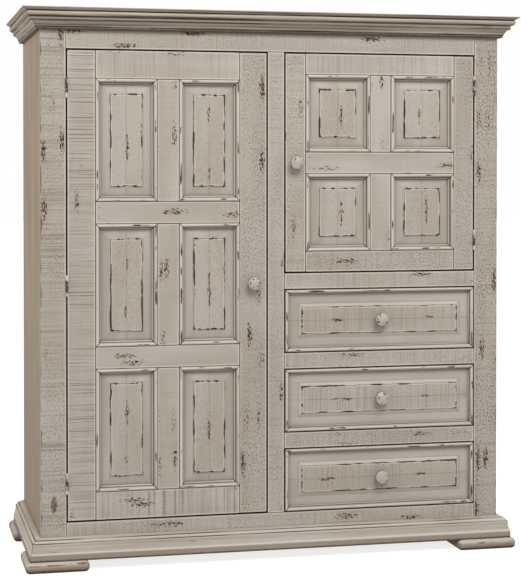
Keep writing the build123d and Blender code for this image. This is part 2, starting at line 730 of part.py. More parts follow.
def catch(door):
    """A magnetic catch under a shelf, just behind the door's strike plate."""
    front = DOOR_BACK_Y + STRIKE_THICKNESS + CATCH_GAP
    with BuildPart() as housing:
        block(
            (door.catch_x - CATCH_WIDTH / 2, front, door.catch_top - CATCH_HEIGHT),
            (door.catch_x + CATCH_WIDTH / 2, front + CATCH_DEPTH, door.catch_top),
        )
        chamfer(housing.edges().filter_by(Axis.Y), CATCH_CORNER)
    return housing.part


def strike_plate(door):
    middle = door.catch_top - CATCH_HEIGHT / 2
    with BuildPart() as plate:
        block(
            (door.catch_x - STRIKE_WIDTH / 2, DOOR_BACK_Y, middle - STRIKE_HEIGHT / 2),
            (door.catch_x + STRIKE_WIDTH / 2, DOOR_BACK_Y + STRIKE_THICKNESS, middle + STRIKE_HEIGHT / 2),
        )
        fillet(plate.edges().filter_by(Axis.Y), CATCH_CORNER)
    return plate.part


# Butt hinges: two leaves fill the gap beside the door, and their knuckles interleave in front of it

def hinge_leaf(x_axis, side, z_middle, first_knuckle):
    """A leaf that lies to one side of the hinge axis and holds every second knuckle."""
    z_low = z_middle - HINGE_HEIGHT / 2
    pitch = HINGE_HEIGHT / HINGE_KNUCKLES
    inner = x_axis + side * HINGE_LEAF_PLAY / 2
    outer = x_axis + side * DOOR_GAP / 2
    with BuildPart() as leaf:
        block((inner, FACE_Y, z_low), (outer, FACE_Y + HINGE_LEAF_DEPTH, z_low + HINGE_HEIGHT))
        for place in range(first_knuckle, HINGE_KNUCKLES, 2):
            start = z_low + place * pitch + KNUCKLE_GAP / 2
            end = start + pitch - KNUCKLE_GAP
            with BuildSketch(Plane.XY.offset(start)):
                with Locations((x_axis, HINGE_Y)):
                    Circle(KNUCKLE_RADIUS)
            extrude(amount=end - start)
            block((inner, HINGE_Y, start), (outer, FACE_Y, end))
        with BuildSketch(Plane.XY.offset(z_low)):
            with Locations((x_axis, HINGE_Y)):
                Circle(HINGE_PIN_RADIUS + HINGE_PIN_FIT)
        extrude(amount=HINGE_HEIGHT, mode=Mode.SUBTRACT)
    return leaf.part


def hinge_pin(x_axis, z_middle):
    """A loose pin with a domed tip at each end."""
    half = HINGE_HEIGHT / 2
    tip = half + HINGE_TIP_HEIGHT
    centre = Vector(x_axis, HINGE_Y, z_middle)
    with BuildPart() as pin:
        with BuildSketch(Plane(origin=centre, x_dir=RIGHTWARD, z_dir=FORWARD)):
            with BuildLine():
                TangentArc((0, -tip), (HINGE_TIP_RADIUS, -half), tangent=(1, 0))
                Polyline(
                    (HINGE_TIP_RADIUS, -half),
                    (HINGE_PIN_RADIUS, -half),
                    (HINGE_PIN_RADIUS, half),
                    (HINGE_TIP_RADIUS, half),
                )
                TangentArc((0, tip), (HINGE_TIP_RADIUS, half), tangent=(1, 0))
                Line((0, tip), (0, -tip))
            make_face()
        revolve(axis=Axis(centre, UPWARD))
    return pin.part


tall_middle = (OPENING_BOTTOM + OPENING_TOP) / 2
tall_door = Door(
    "left_door",
    hinge_side=-1,
    bottom=OPENING_BOTTOM,
    stile_width=TALL_STILE_WIDTH,
    rail_height=TALL_RAIL_HEIGHT,
    rows=TALL_ROWS,
    hinge_levels=[OPENING_BOTTOM + TALL_HINGE_INSET, tall_middle, OPENING_TOP - TALL_HINGE_INSET],
    catch_shelf=tall_levels[len(tall_levels) // 2],
)
short_door = Door(
    "right_door",
    hinge_side=1,
    bottom=DECK_TOP,
    stile_width=SHORT_STILE_WIDTH,
    rail_height=SHORT_RAIL_HEIGHT,
    rows=SHORT_ROWS,
    hinge_levels=[DECK_TOP + SHORT_HINGE_INSET, OPENING_TOP - SHORT_HINGE_INSET],
    catch_shelf=short_levels[len(short_levels) // 2],
)
doors = (tall_door, short_door)

for door in doors:
    save(door_stile(door, door.hinge_edge, door.hinge_inner), f"{door.name}_hinge_stile")
    save(door_stile(door, door.knob_edge, door.knob_inner, bored=True), f"{door.name}_knob_stile")
    save_group((door_rail(door, *span) for span in door.rails), f"{door.name}_rails")
    save_group((door_muntin(door, *span) for span in door.rows), f"{door.name}_muntins")
    save_group((raised_panel(*opening) for opening in door.panels), f"{door.name}_panels")
    strips = [
        strip
        for opening in door.panels
        for strip in moulding_frame(*opening, TONGUE_FRONT, PANEL_MOULDING_WIDTH)
    ]
    save_group(strips, f"{door.name}_mouldings")
    save(knob(door.knob_x, door.knob_z, 0), f"{door.name}_knob")
    save(strike_plate(door), f"{door.name}_strike")
    leaves = [hinge_leaf(door.hinge_x, -door.hinge_side, level, 1) for level in door.hinge_levels]
    save_group(leaves, f"{door.name}_hinge_leaves")

frame_leaves = [
    hinge_leaf(door.hinge_x, door.hinge_side, level, 0) for door in doors for level in door.hinge_levels
]
save_group(frame_leaves, "hinge_frame_leaves")
save_group((hinge_pin(door.hinge_x, level) for door in doors for level in door.hinge_levels), "hinge_pins")
save_group((catch(door) for door in doors), "door_catches")


# Drawers: sides joined to the front by sliding dovetails, grooved to hang on side runners

def dovetail_outline(x_middle, z_low, fit=0.0):
    """The section of a sliding dovetail on a drawer side's end, or with a fit, of its housing."""
    mouth = DOVETAIL_MOUTH / 2 + fit
    root = DOVETAIL_ROOT / 2 + fit
    root_y = DRAWER_BACK_Y - DOVETAIL_DEPTH - fit
    with BuildSketch(Plane.XY.offset(z_low)) as outline:
        with BuildLine():
            Polyline(
                (x_middle - mouth, DRAWER_BACK_Y),
                (x_middle + mouth, DRAWER_BACK_Y),
                (x_middle + root, root_y),
                (x_middle - root, root_y),
                close=True,
            )
        make_face()
    return outline.sketch


def drawer_side_x(side):
    """A drawer side's outer, middle and inner planes: -1 is the left side."""
    outer = DRAWER_LEFT_X if side < 0 else DRAWER_RIGHT_X
    return outer, outer - side * DRAWER_SIDE_THICKNESS / 2, outer - side * DRAWER_SIDE_THICKNESS


DRAWER_INNER_LEFT = drawer_side_x(-1)[2]
DRAWER_INNER_RIGHT = drawer_side_x(1)[2]
DRAWER_KNOB_X = (OPENING_INNER_X + OPENING_OUTER_X) / 2
DRAWER_FIELD_SETBACK = DRAWER_MARGIN_SETBACK - DRAWER_FIELD_RAISE


def drawer_face(level):
    """The rectangle of a drawer's front inside its opening."""
    return (
        OPENING_INNER_X + DRAWER_GAP,
        OPENING_OUTER_X - DRAWER_GAP,
        level + DRAWER_GAP,
        level + DRAWER_OPENING_HEIGHT - DRAWER_GAP,
    )


def drawer_front(level):
    x_low, x_high, z_low, z_high = drawer_face(level)
    side_top = level + DRAWER_LIFT + DRAWER_SIDE_HEIGHT
    bottom_z = level + DRAWER_LIFT + DRAWER_BOTTOM_LIFT
    field_inset = DRAWER_MOULDING_WIDTH + DRAWER_MARGIN
    field_foot = inset_rectangle(*drawer_face(level), DRAWER_MARGIN_SETBACK, field_inset)
    field = inset_rectangle(*drawer_face(level), DRAWER_FIELD_SETBACK, field_inset + DRAWER_FIELD_CHAMFER)
    with BuildPart() as front:
        block((x_low, FACE_Y + DRAWER_MARGIN_SETBACK, z_low), (x_high, DRAWER_BACK_Y, z_high))
        loft([field_foot, field])
        for side in (-1, 1):
            housing = dovetail_outline(drawer_side_x(side)[1], z_low, TONGUE_FIT)
            extrude(housing, amount=side_top - z_low, mode=Mode.SUBTRACT)
        block(
            (DRAWER_INNER_LEFT, DRAWER_BACK_Y - DRAWER_BOTTOM_INSET, bottom_z),
            (DRAWER_INNER_RIGHT, DRAWER_BACK_Y, bottom_z + DRAWER_BOTTOM_THICKNESS),
            Mode.SUBTRACT,
        )
        knob_hole(DRAWER_KNOB_X, (z_low + z_high) / 2, DRAWER_FIELD_SETBACK)
    return front.part


def drawer_side(level, side):
    outer, middle, inner = drawer_side_x(side)
    z_low = level + DRAWER_LIFT
    z_high = z_low + DRAWER_SIDE_HEIGHT
    bottom_z = z_low + DRAWER_BOTTOM_LIFT
    bottom_top = bottom_z + DRAWER_BOTTOM_THICKNESS
    back_end = DRAWER_REAR_Y - DRAWER_BACK_SETBACK
    runner_z = (z_low + z_high) / 2
    runner_half = RUNNER_HEIGHT / 2 + RUNNER_FIT
    with BuildPart() as board:
        block((outer, DRAWER_BACK_Y, z_low), (inner, DRAWER_REAR_Y, z_high))
        extrude(dovetail_outline(middle, z_low), amount=DRAWER_SIDE_HEIGHT)
        block(
            (outer, DRAWER_BACK_Y, runner_z - runner_half),
            (outer - side * (RUNNER_REACH + RUNNER_FIT), DRAWER_REAR_Y, runner_z + runner_half),
            Mode.SUBTRACT,
        )
        block(
            (inner, DRAWER_BACK_Y, bottom_z),
            (inner + side * DRAWER_BOTTOM_INSET, DRAWER_REAR_Y, bottom_top),
            Mode.SUBTRACT,
        )
        block(
            (inner, back_end - DRAWER_SIDE_THICKNESS, bottom_top),
            (inner + side * DRAWER_BACK_DADO, back_end, z_high),
            Mode.SUBTRACT,
        )
    return board.part


def drawer_back(level):
    z_low = level + DRAWER_LIFT + DRAWER_BOTTOM_LIFT + DRAWER_BOTTOM_THICKNESS
    end = DRAWER_REAR_Y - DRAWER_BACK_SETBACK
    reach = DRAWER_BACK_DADO - JOINT_FIT
    with BuildPart() as board:
        block(
            (DRAWER_INNER_LEFT - reach, end - DRAWER_SIDE_THICKNESS, z_low),
            (DRAWER_INNER_RIGHT + reach, end, level + DRAWER_LIFT + DRAWER_SIDE_HEIGHT),
        )
    return board.part


def drawer_bottom(level):
    """A thin sheet in grooves in the sides, with a narrower lip in the front's groove."""
    z_low = level + DRAWER_LIFT + DRAWER_BOTTOM_LIFT
    z_high = z_low + DRAWER_BOTTOM_THICKNESS
    reach = DRAWER_BOTTOM_INSET - JOINT_FIT
    with BuildPart() as sheet:
        block(
            (DRAWER_INNER_LEFT - reach, DRAWER_BACK_Y, z_low),
            (DRAWER_INNER_RIGHT + reach, DRAWER_REAR_Y, z_high),
        )
        block(
            (DRAWER_INNER_LEFT + JOINT_FIT, DRAWER_BACK_Y - reach, z_low),
            (DRAWER_INNER_RIGHT - JOINT_FIT, DRAWER_BACK_Y, z_high),
        )
    return sheet.part


def runner(level, side):
    """A wooden strip on the partition or the side panel that a drawer's groove slides on."""
    wall = PARTITION_X if side < 0 else SIDE_INNER_X
    outer = drawer_side_x(side)[0]
    middle = level + DRAWER_LIFT + DRAWER_SIDE_HEIGHT / 2
    with BuildPart() as strip:
        block(
            (wall, DRAWER_BACK_Y + RUNNER_FIT, middle - RUNNER_HEIGHT / 2),
            (outer - side * RUNNER_REACH, BACK_BOARD_Y - RUNNER_REAR_GAP, middle + RUNNER_HEIGHT / 2),
        )
    return strip.part


for name, level in zip(DRAWER_NAMES, DRAWER_LEVELS):
    face = drawer_face(level)
    save(drawer_front(level), f"{name}_front")
    save_group(moulding_frame(*face, DRAWER_MARGIN_SETBACK, DRAWER_MOULDING_WIDTH), f"{name}_mouldings")
    box = [drawer_side(level, -1), drawer_side(level, 1), drawer_back(level), drawer_bottom(level)]
    save_group(box, f"{name}_box")
    save(knob(DRAWER_KNOB_X, (face[2] + face[3]) / 2, DRAWER_FIELD_SETBACK), f"{name}_knob")

save_group((runner(level, side) for level in DRAWER_LEVELS for side in (-1, 1)), "drawer_runners")
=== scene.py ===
import json
import math
from collections import namedtuple

import bmesh
import bpy
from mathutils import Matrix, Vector, noise


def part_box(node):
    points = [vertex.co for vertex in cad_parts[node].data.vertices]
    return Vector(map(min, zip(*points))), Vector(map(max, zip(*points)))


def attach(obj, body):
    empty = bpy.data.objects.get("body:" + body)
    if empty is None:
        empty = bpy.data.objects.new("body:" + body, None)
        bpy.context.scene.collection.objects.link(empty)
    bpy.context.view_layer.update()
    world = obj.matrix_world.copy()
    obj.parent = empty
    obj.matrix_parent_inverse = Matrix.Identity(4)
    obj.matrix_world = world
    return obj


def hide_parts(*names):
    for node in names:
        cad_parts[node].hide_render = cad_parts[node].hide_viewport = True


# The looks of a distressed, whitewashed pine armoire. Metres, +Z up, front towards -Y.

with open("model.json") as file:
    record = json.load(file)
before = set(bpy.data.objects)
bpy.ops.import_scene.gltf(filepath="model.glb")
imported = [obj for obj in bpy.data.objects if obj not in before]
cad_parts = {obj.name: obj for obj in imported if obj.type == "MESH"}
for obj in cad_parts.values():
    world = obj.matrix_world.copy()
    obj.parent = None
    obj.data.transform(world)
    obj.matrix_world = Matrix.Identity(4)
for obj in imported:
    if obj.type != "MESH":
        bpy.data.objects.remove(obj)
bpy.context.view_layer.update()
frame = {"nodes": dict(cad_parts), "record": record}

# Camera
CAMERA_PLACE = (-1.0316, -4.4567, 1.0299)
CAMERA_PITCH = math.radians(-0.862)
CAMERA_YAW = math.radians(-13.166)
CAMERA_LENS = 101.80
CAMERA_SENSOR = 36.0
CAMERA_SHIFT_Y = -0.1595

# Colours
PAINT_LIGHT = (0.475, 0.435, 0.378)
PAINT_SHADE = (0.355, 0.31, 0.254)
# Pale paint, also laid as painted highlights on arrises, crests, chamfers and hewn rims
PALE_PAINT_AND_HIGHLIGHT = (0.60, 0.565, 0.505)
# Brown of saw kerfs and worn wood, also laid as painted shade towards the panel strips and on the lower half
# of the feet
KERF_BROWN_AND_SHADE = (0.17, 0.13, 0.09)
# Stain on the edges of boards, dark enough to stand for the shade down in the door gaps
EDGE_STAIN_AND_GAP_SHADE = (0.070, 0.038, 0.019)
# Dark glaze for joints and grooves, also laid as painted shade in corners, on knob necks and along the lower
# edges of mouldings and feet
GLAZE_AND_SHADE = (0.046, 0.025, 0.012)
MARK_DARK = (0.030, 0.019, 0.012)
RUBBED_WOOD = (0.16, 0.080, 0.034)
SIDE_LIGHT = (0.43, 0.335, 0.217)
SIDE_SHADE = (0.25, 0.18, 0.113)
END_LIGHT = (0.46, 0.35, 0.23)
END_SHADE = (0.28, 0.205, 0.125)
BASE_LIGHT = (0.60, 0.50, 0.405)
BASE_SHADE = (0.38, 0.315, 0.25)
FOOT_LIGHT = (0.38, 0.315, 0.26)
FOOT_SHADE = (0.265, 0.205, 0.155)
CROWN_LIGHT = (0.47, 0.405, 0.325)
CROWN_SHADE = (0.27, 0.215, 0.155)
KNOB_PAINT = (0.46, 0.422, 0.363)
HINGE_PAINT = (0.60, 0.56, 0.49)
HINGE_BARE = (0.035, 0.026, 0.020)
PINE_LIGHT = (0.60, 0.425, 0.25)
PINE_DARK = (0.40, 0.235, 0.11)
PINE_KNOT = (0.13, 0.062, 0.026)
STEEL = (0.62, 0.61, 0.58)
STEEL_SHADE = tuple(channel * 0.6 for channel in STEEL)
BROWN_PLASTIC = (0.16, 0.10, 0.06)

# Gloss
PAINT_ROUGHNESS = 0.62
PAINT_SPECULAR = 0.25
KNOB_ROUGHNESS = 0.38
HINGE_ROUGHNESS = 0.5
PINE_ROUGHNESS = 0.55
PINE_SPECULAR = 0.3
STEEL_ROUGHNESS = 0.3
PLASTIC_ROUGHNESS = 0.45
FLOOR_ROUGHNESS = 0.9

# Depths of relief
PAINT_DEPTH = 0.0010
SIDE_DEPTH = 0.0006
KNOB_DEPTH = 0.0006
HINGE_DEPTH = 0.0005
PINE_DEPTH = 0.0002
PLASTIC_DEPTH = 0.0001

# Noise: features a metre along, across and through the grain, then detail and roughness
Pattern = namedtuple("Pattern", "scale detail roughness", defaults=(2.0, 0.5))
DRIFT = Pattern((2.5, 12.0, 12.0), 3.0)
FIBRE = Pattern((5.0, 190.0, 190.0), 3.0, 0.6)
KERF_LINES = Pattern((225.0, 2.5, 2.5), 1.0)
KERF_PATCHES = Pattern((9.0, 3.0, 3.0))
FLECKS = Pattern((200.0, 280.0, 280.0), 2.0, 0.65)
FLECK_PATCHES = Pattern((6.0, 18.0, 18.0))
STROKES = Pattern((120.0, 270.0, 270.0), 1.0, 0.6)
BLOTS = Pattern((75.0, 200.0, 200.0), 2.0, 0.65)
CHIPS = Pattern((16.0, 60.0, 60.0), 3.0, 0.6)
GLAZE_STREAKS = Pattern((2.2, 210.0, 210.0), 3.0, 0.62)
GLAZE_PATCHES = Pattern((5.0, 30.0, 30.0), 3.0)
SCRAPES = Pattern((9.0, 70.0, 70.0))
STRIP_SCRAPES = Pattern((20.0, 80.0, 80.0))
SIDE_STREAKS = Pattern((1.5, 30.0, 30.0), 4.0, 0.65)
KNOB_DRIFT = Pattern((70.0, 70.0, 70.0), 3.0)
KNOB_FLAKES = Pattern((115.0, 115.0, 115.0), 2.0, 0.6)
HINGE_DRIFT = Pattern((90.0, 90.0, 60.0), 3.0)
HINGE_FLAKES = Pattern((150.0, 150.0, 105.0), 3.0, 0.6)
BRUSHING = Pattern((900.0, 60.0, 60.0))
PLASTIC_GRAIN = Pattern((1500.0, 1500.0, 1500.0), 1.0)

# How closely the corners of a solid's triangles join, and what counts as the same plane
JOIN = 1e-5
SAME_PLANE = 1e-4
FRONT_LAYER = 1e-3
FLAT_ANGLE = math.radians(0.3)
SHARP_ANGLE = math.radians(32)

# Hand-hewn fields: the step along an edge, its waves, ripples and chips a metre, its worn rim, how far that
# is below the face, the bore for a knob inside the field, and a step to another place in the noise
HEWN_STEP = 0.004
HEWN_WAVE = 34.0
HEWN_RIPPLE = 130.0
HEWN_CHIPS = 90.0
HEWN_RIM = 0.0055
HEWN_DROP = 0.0003
BORE_RADIUS = 0.010
ELSEWHERE = Vector((31.7, 5.1, 11.9))

# Across a strip of moulding, from its outer edge: the painted highlight on its crest and its dark groove
STRIP_CREST = 0.0046
STRIP_GROOVE = 0.0104

# Heights of the grooves that hold dark glaze on the crown and the base, and of the base's arris, with a
# painted highlight above and painted shade below
Profile = namedtuple("Profile", "grooves groove_width arrises")
CROWN = Profile((0.0070, 0.0230, 0.0320, 0.0460), 0.0027, ())
PLINTH = Profile((0.0450, 0.0525), 0.0016, (0.0175,))

# The chamfer round a raised field, and how far beyond the field its strips begin
PANEL_CHAMFER = 0.0020
PANEL_BRINK = 0.0245
DRAWER_CHAMFER = 0.0085
DRAWER_BRINK = 0.0335

# Where a painted highlight runs along an arris, how far dark glaze and painted shade reach out of a corner,
# and the widths of joints
ARRIS_INSET = 0.0028
CORNER_REACH = 0.008
JOINT_WIDTH = 0.0014
END_JOINT_WIDTH = 0.0019
SIDE_JOINT_WIDTH = 0.0016
STRIP_EDGE_WIDTH = 0.0010
MITRE_WIDTH = 0.0018

# The crest of a foot's bullnose, and the heights between which painted shade darkens the sides towards the
# floor
FOOT_CREST = 0.021
SIDE_UNSHADED_HEIGHT = 1.1
SIDE_SHADED_HEIGHT = 0.1

# A knob's turned ring and the ring of its chips, from its middle, and the painted shade on its neck, from
# its front
KNOB_RING = 0.0062
KNOB_CHIPS = 0.0125
KNOB_NECK = (0.0030, 0.0090)

# Heights on the base's profile, and where its worn profile has them: fascia, cove and nose
PLINTH_LEVELS = (0.0, 0.0200, 0.0380, 0.0570)
WORN_LEVELS = (0.0, 0.0175, 0.0450, 0.0570)

# The heights of the hinges, whose paint has gone from their middles
TALL_HINGES = (0.2220, 0.7355, 1.2490)
SHORT_HINGES = (0.8440, 1.2660)

# Screws: their sizes, the faces of the hinge leaves beside the pin, and places on leaves and plates
SCREW_SIDES = 24
SCREW_SIZES = {"Head Diameter": 0.0065, "Head Height": 0.0001, "Slot Width": 0.0011}
CASE_LEAF_X = 0.55745
DOOR_LEAF_X = 0.55705
LEAF_SCREWS = ((-0.0160, -0.2160), (0.0, -0.2215), (0.0160, -0.2160))
PLATE_SCREW_INSET = 0.0060

# Nails: how far they are from an edge, and the squares of the outer and inner radii of a head
NAIL_INSET = 0.010
NAIL_HEAD = (2.6e-6, 1.2e-6)

# How much less of a board's dark edge shows beside a gap than in a joint, and on a corner in the open
EDGE_IN_GAP = 0.0006
EDGE_IN_OPEN = 1.0

# Splits in the fields: the step along one, half its width, its depth, and its waves a metre and their size
SPLIT_STEP = 0.005
SPLIT_HALF = 0.0105
SPLIT_DEPTH = 0.0010
SPLIT_WAVE = 60.0
SPLIT_WANDER = 0.0016

# What is beside a board's low and high edges
JOINED = (0.0, 0.0)
GAP_LOW = (EDGE_IN_GAP, 0.0)
GAP_HIGH = (0.0, EDGE_IN_GAP)
GAP_BOTH = (EDGE_IN_GAP, EDGE_IN_GAP)

# Boards of one node follow each other at this step of the seed
SEED_STEP = 0.37

# Studio: each lamp's place, size and power
LAMPS = {
    "key": ((0.4, -3.6, 3.9), 2.2, 138.0),
    "fill": ((-4.0, -1.4, 2.4), 2.4, 47.0),
}
LAMP_AIM = (0.0, 0.0, 0.75)
BLACK = (0.0, 0.0, 0.0)
WHITE = (1.0, 1.0, 1.0)
SKY_TINT = (1.0, 0.99, 0.97)
SKY_STRENGTH = 0.55
FLOOR_REACH = 30.0
FLOOR_GREY = (0.5, 0.5, 0.5)
FLOOR_GLOW = 0.80
SEEN_RAYS = ("Is Camera Ray", "Is Glossy Ray", "Is Transmission Ray")

# Upright boards in the back
BACK_BOARD_COUNT = 10

# A board: its grain, how strong its kerfs, pebbled grain and gouges are, what is beside its edges, if it is
# nailed, its knot and the axis through it. Smooth is those three strengths on a field's planed parts.
AXES = {"x": 0, "y": 1, "z": 2}
SMOOTH = (0.0, 0.08, 0.0)
NO_KNOT = (0.0, 0.0, -1.0)
BOARD_FIELDS = "grain kerf pebble marks edges nailed knot through"
Boards = namedtuple("Boards", BOARD_FIELDS, defaults=(JOINED, 0.0, NO_KNOT, "y"))
Field = namedtuple("Field", "foot head face shoulder sway grain")
Split = namedtuple("Split", "start end drift")


# Shader expressions

class Value:
    """A shader socket in an expression. Operators add Math nodes to its finish."""

    def __init__(self, finish, socket):
        self.finish = finish
        self.socket = socket

    def math(self, operation, *others):
        return self.finish.node("Math", {"operation": operation}, dict(enumerate((self, *others))))

    def __add__(self, other):
        return self.math("ADD", other)

    __radd__ = __add__

    def __sub__(self, other):
        return self.math("SUBTRACT", other)

    def __rsub__(self, other):
        return self.finish.node("Math", {"operation": "SUBTRACT"}, {0: other, 1: self})

    def __mul__(self, other):
        return self.math("MULTIPLY", other)

    def __abs__(self):
        return self.math("ABSOLUTE")

    def least(self, other):
        return self.math("MINIMUM", other)

    def rise(self, low, high):
        """0 at low, 1 at high, and smooth between. With low above high it falls instead."""
        settings = {"interpolation_type": "SMOOTHSTEP", "clamp": True}
        return self.finish.node("MapRange", settings, {"Value": self, "From Min": low, "From Max": high})

    def scaled(self, factors):
        return self.finish.node("VectorMath", {"operation": "MULTIPLY"}, {0: self, 1: factors})

    def moved(self, steps):
        return self.finish.node("VectorMath", {"operation": "ADD"}, {0: self, 1: steps})

    def part(self, axis):
        return self.finish.node("SeparateXYZ", {}, {0: self}, axis)

    def parts(self):
        return [self.part(axis) for axis in "XYZ"]


class Nodes:
    """Shader nodes under construction."""

    def __init__(self, tree):
        self.tree = tree
        tree.nodes.clear()

    def node(self, kind, settings=None, sockets=None, output=0):
        """Add a node: its settings first, then the values or links of its sockets."""
        node = self.tree.nodes.new("ShaderNode" + kind)
        for name, setting in (settings or {}).items():
            setattr(node, name, setting)
        for name, value in (sockets or {}).items():
            self.feed(node.inputs[name], value)
        return Value(self, node.outputs[output])

    def feed(self, socket, value):
        if isinstance(value, Value):
            self.tree.links.new(value.socket, socket)
        elif socket.type == "RGBA":
            socket.default_value = (*value, 1.0)
        else:
            socket.default_value = value

    def seen(self):
        """1 for what the camera sees, straight on or in a gloss or a glass."""
        camera, gloss, glass = (self.node("LightPath", output=ray) for ray in SEEN_RAYS)
        return camera + gloss + glass


class Finish(Nodes):
    """A material under construction, with the colour and the relief that it has so far."""

    def __init__(self, name, colour):
        self.material = bpy.data.materials.new(name)
        self.material.use_nodes = True
        super().__init__(self.material.node_tree)
        self.surface = self.tree.nodes.new("ShaderNodeBsdfPrincipled")
        output = self.tree.nodes.new("ShaderNodeOutputMaterial")
        self.tree.links.new(self.surface.outputs[0], output.inputs["Surface"])
        self.colour = colour
        self.relief = 0.0

    def set(self, **values):
        """Set the surface's own sockets: Base_Color is Base Color."""
        for name, value in values.items():
            self.feed(self.surface.inputs[name.replace("_", " ")], value)

    def attribute(self, name):
        return self.node("Attribute", {"attribute_name": name}, output="Vector")

    def noise(self, place, pattern):
        """Smooth noise from 0 to 1."""
        texture = {"Scale": 1.0, "Detail": pattern.detail, "Roughness": pattern.roughness}
        return self.node("TexNoise", {}, {"Vector": place.scaled(pattern.scale), **texture})

    def mix(self, factor, base, over):
        return self.node("Mix", {"data_type": "RGBA"}, {0: factor, 6: base, 7: over}, 2)

    def coat(self, amount, colour, height=0.0):
        """Lay a colour over what is there, and raise or sink the surface with it."""
        self.colour = self.mix(amount, self.colour, colour)
        if height:
            self.relief = self.relief + amount * height

    def closeness(self, distance):
        """0 in the open, 1 in a tight corner."""
        return 1.0 - self.node("AmbientOcclusion", {"samples": 8}, {"Distance": distance}, "AO")

    def made(self, roughness, depth=0.0, **others):
        """Give the material with its surface set, and its relief as a bump of this depth."""
        self.set(Base_Color=self.colour, Roughness=roughness, **others)
        if depth:
            bump = {"Height": self.relief, "Distance": depth, "Strength": 1.0}
            self.set(Normal=self.node("Bump", {}, bump))
        return self.material


class Whitewash(Finish):
    """Worn paint over pine, in the measures that each board carries as attributes:

    near and far: distances from its low and high ends along, across and through the grain
    finish: strength of its saw kerfs, pebbled grain and gouges
    wear: a seed, how far a field is rubbed through or whether a board is nailed, and how far it is split
    knot: where its knot is along and across the grain, and the size of the knot
    """

    def __init__(self, name, light, shade):
        super().__init__(name, light)
        near, far = self.attribute("near"), self.attribute("far")
        self.along, self.across, self.through = near.parts()
        self.far_across = far.part("Y")
        self.kerf, self.pebble, self.marks = self.attribute("finish").parts()
        seed, self.rubbed, self.split = self.attribute("wear").parts()
        self.nailed = self.rubbed
        shift = self.node("CombineXYZ", {}, {0: seed * 3.1, 1: seed * 1.7, 2: seed * 0.9})
        self.place = near.moved(shift)
        self.end = self.along.least(far.part("X"))
        self.side = self.across.least(self.far_across)
        self.front = self.through.rise(0.0030, 0.0012)
        slant = self.node("CombineXYZ", {}, {1: self.place.part("X") * 0.3})
        self.stroke = self.noise(self.place.moved(slant), STROKES)
        self.blot = self.noise(self.place, BLOTS)
        self.chip = self.noise(self.place, CHIPS)
        self.shade = shade
        self.coat(self.noise(self.place, DRIFT).rise(0.66, 0.34) * 0.6, shade)

    def grain(self, amount):
        fibre = self.noise(self.place, FIBRE)
        self.coat(fibre.rise(0.48, 0.74) * amount, self.shade, -0.15)

    def kerfs(self):
        """Saw marks: thin straight lines across the grain, some strong and some faint."""
        line = self.noise(self.place, KERF_LINES)
        patch = self.noise(self.place, KERF_PATCHES).rise(0.34, 0.64) * self.kerf
        self.coat(patch * 0.16, self.shade)
        self.coat(line.rise(0.52, 0.66) * (patch * 0.55 + self.kerf * 0.40), KERF_BROWN_AND_SHADE, -0.6)
        self.coat(line.rise(0.46, 0.32) * self.kerf * 0.45, PALE_PAINT_AND_HIGHLIGHT)

    def pebbles(self):
        """Rough grain: small dark flecks, in patches."""
        fleck = self.noise(self.place, FLECKS)
        patch = self.noise(self.place, FLECK_PATCHES).rise(0.28, 0.62)
        amount = (patch * 0.65 + 0.35) * self.pebble
        self.coat(self.pebble.rise(0.4, 1.3) * 0.35, self.shade)
        self.coat(fleck.rise(0.50, 0.68) * amount * 0.80, KERF_BROWN_AND_SHADE, -0.6)
        self.coat(fleck.rise(0.46, 0.30) * amount * 0.35, PALE_PAINT_AND_HIGHLIGHT)

    def gouges(self):
        """Clusters of short slanting strokes, dark or only stained."""
        spot = {"Vector": self.place.scaled((6.2, 26.0, 0.0)), "Scale": 1.0, "Randomness": 1.0}
        flat = {"voronoi_dimensions": "2D", "feature": "F1"}
        nearest = self.node("TexVoronoi", flat, spot, "Distance")
        chance = self.node("TexVoronoi", flat, spot, "Color").part("X")
        core = nearest.rise(0.36, 0.04) * chance.rise(0.30, 0.72) * self.marks
        self.coat((core * 0.32 + self.stroke).rise(0.66, 0.80) * core.rise(0.0, 0.25) * 0.65, RUBBED_WOOD)
        self.coat((core * 0.32 + self.stroke).rise(0.79, 0.83) * 0.96, MARK_DARK, -1.0)

    def arrises(self):
        """A painted highlight a little in from each edge, and brown where the edge is rubbed through."""
        edge = self.side.least(self.end)
        # Painted highlight along each arris
        self.coat(abs(edge - ARRIS_INSET).rise(0.0024, 0.0006) * 0.70, PALE_PAINT_AND_HIGHLIGHT)
        worn = (self.chip - self.side * 45.0).rise(0.57, 0.62) * self.marks.rise(0.0, 0.2) * self.front
        self.coat(worn * 0.85, RUBBED_WOOD, -0.4)

    def rubs(self):
        """Hewn edges worn to the wood, with a painted highlight on each side of the rim, and splits that
        show dark.
        """
        # Painted highlight on each side of the hewn rim
        self.coat(abs(self.rubbed - 0.40).rise(0.34, 0.08) * 0.65, PALE_PAINT_AND_HIGHLIGHT)
        self.coat(self.rubbed.rise(0.66, 0.90) * 0.45, RUBBED_WOOD)
        worn = self.chip.rise(0.42, 0.62) * 0.8 + self.rubbed
        self.coat(worn.rise(1.02, 1.22) * 0.92, RUBBED_WOOD, -0.3)
        self.coat((worn + self.blot * 0.35).rise(1.41, 1.54) * 0.95, MARK_DARK)
        torn = self.split * 0.36 + self.stroke
        self.coat(torn.rise(0.64, 0.84) * self.split.rise(0.0, 0.25) * 0.75, RUBBED_WOOD)
        self.coat(torn.rise(0.80, 0.87) * 0.95, MARK_DARK, -0.8)

    def nails(self):
        """A pair of nail heads near each end of a board that has them."""
        along = abs(self.end - NAIL_INSET)
        across = abs(self.side - NAIL_INSET * 1.5)
        head = (along * along + across * across).rise(*NAIL_HEAD)
        self.coat(head * self.nailed * 0.85, MARK_DARK, -0.5)

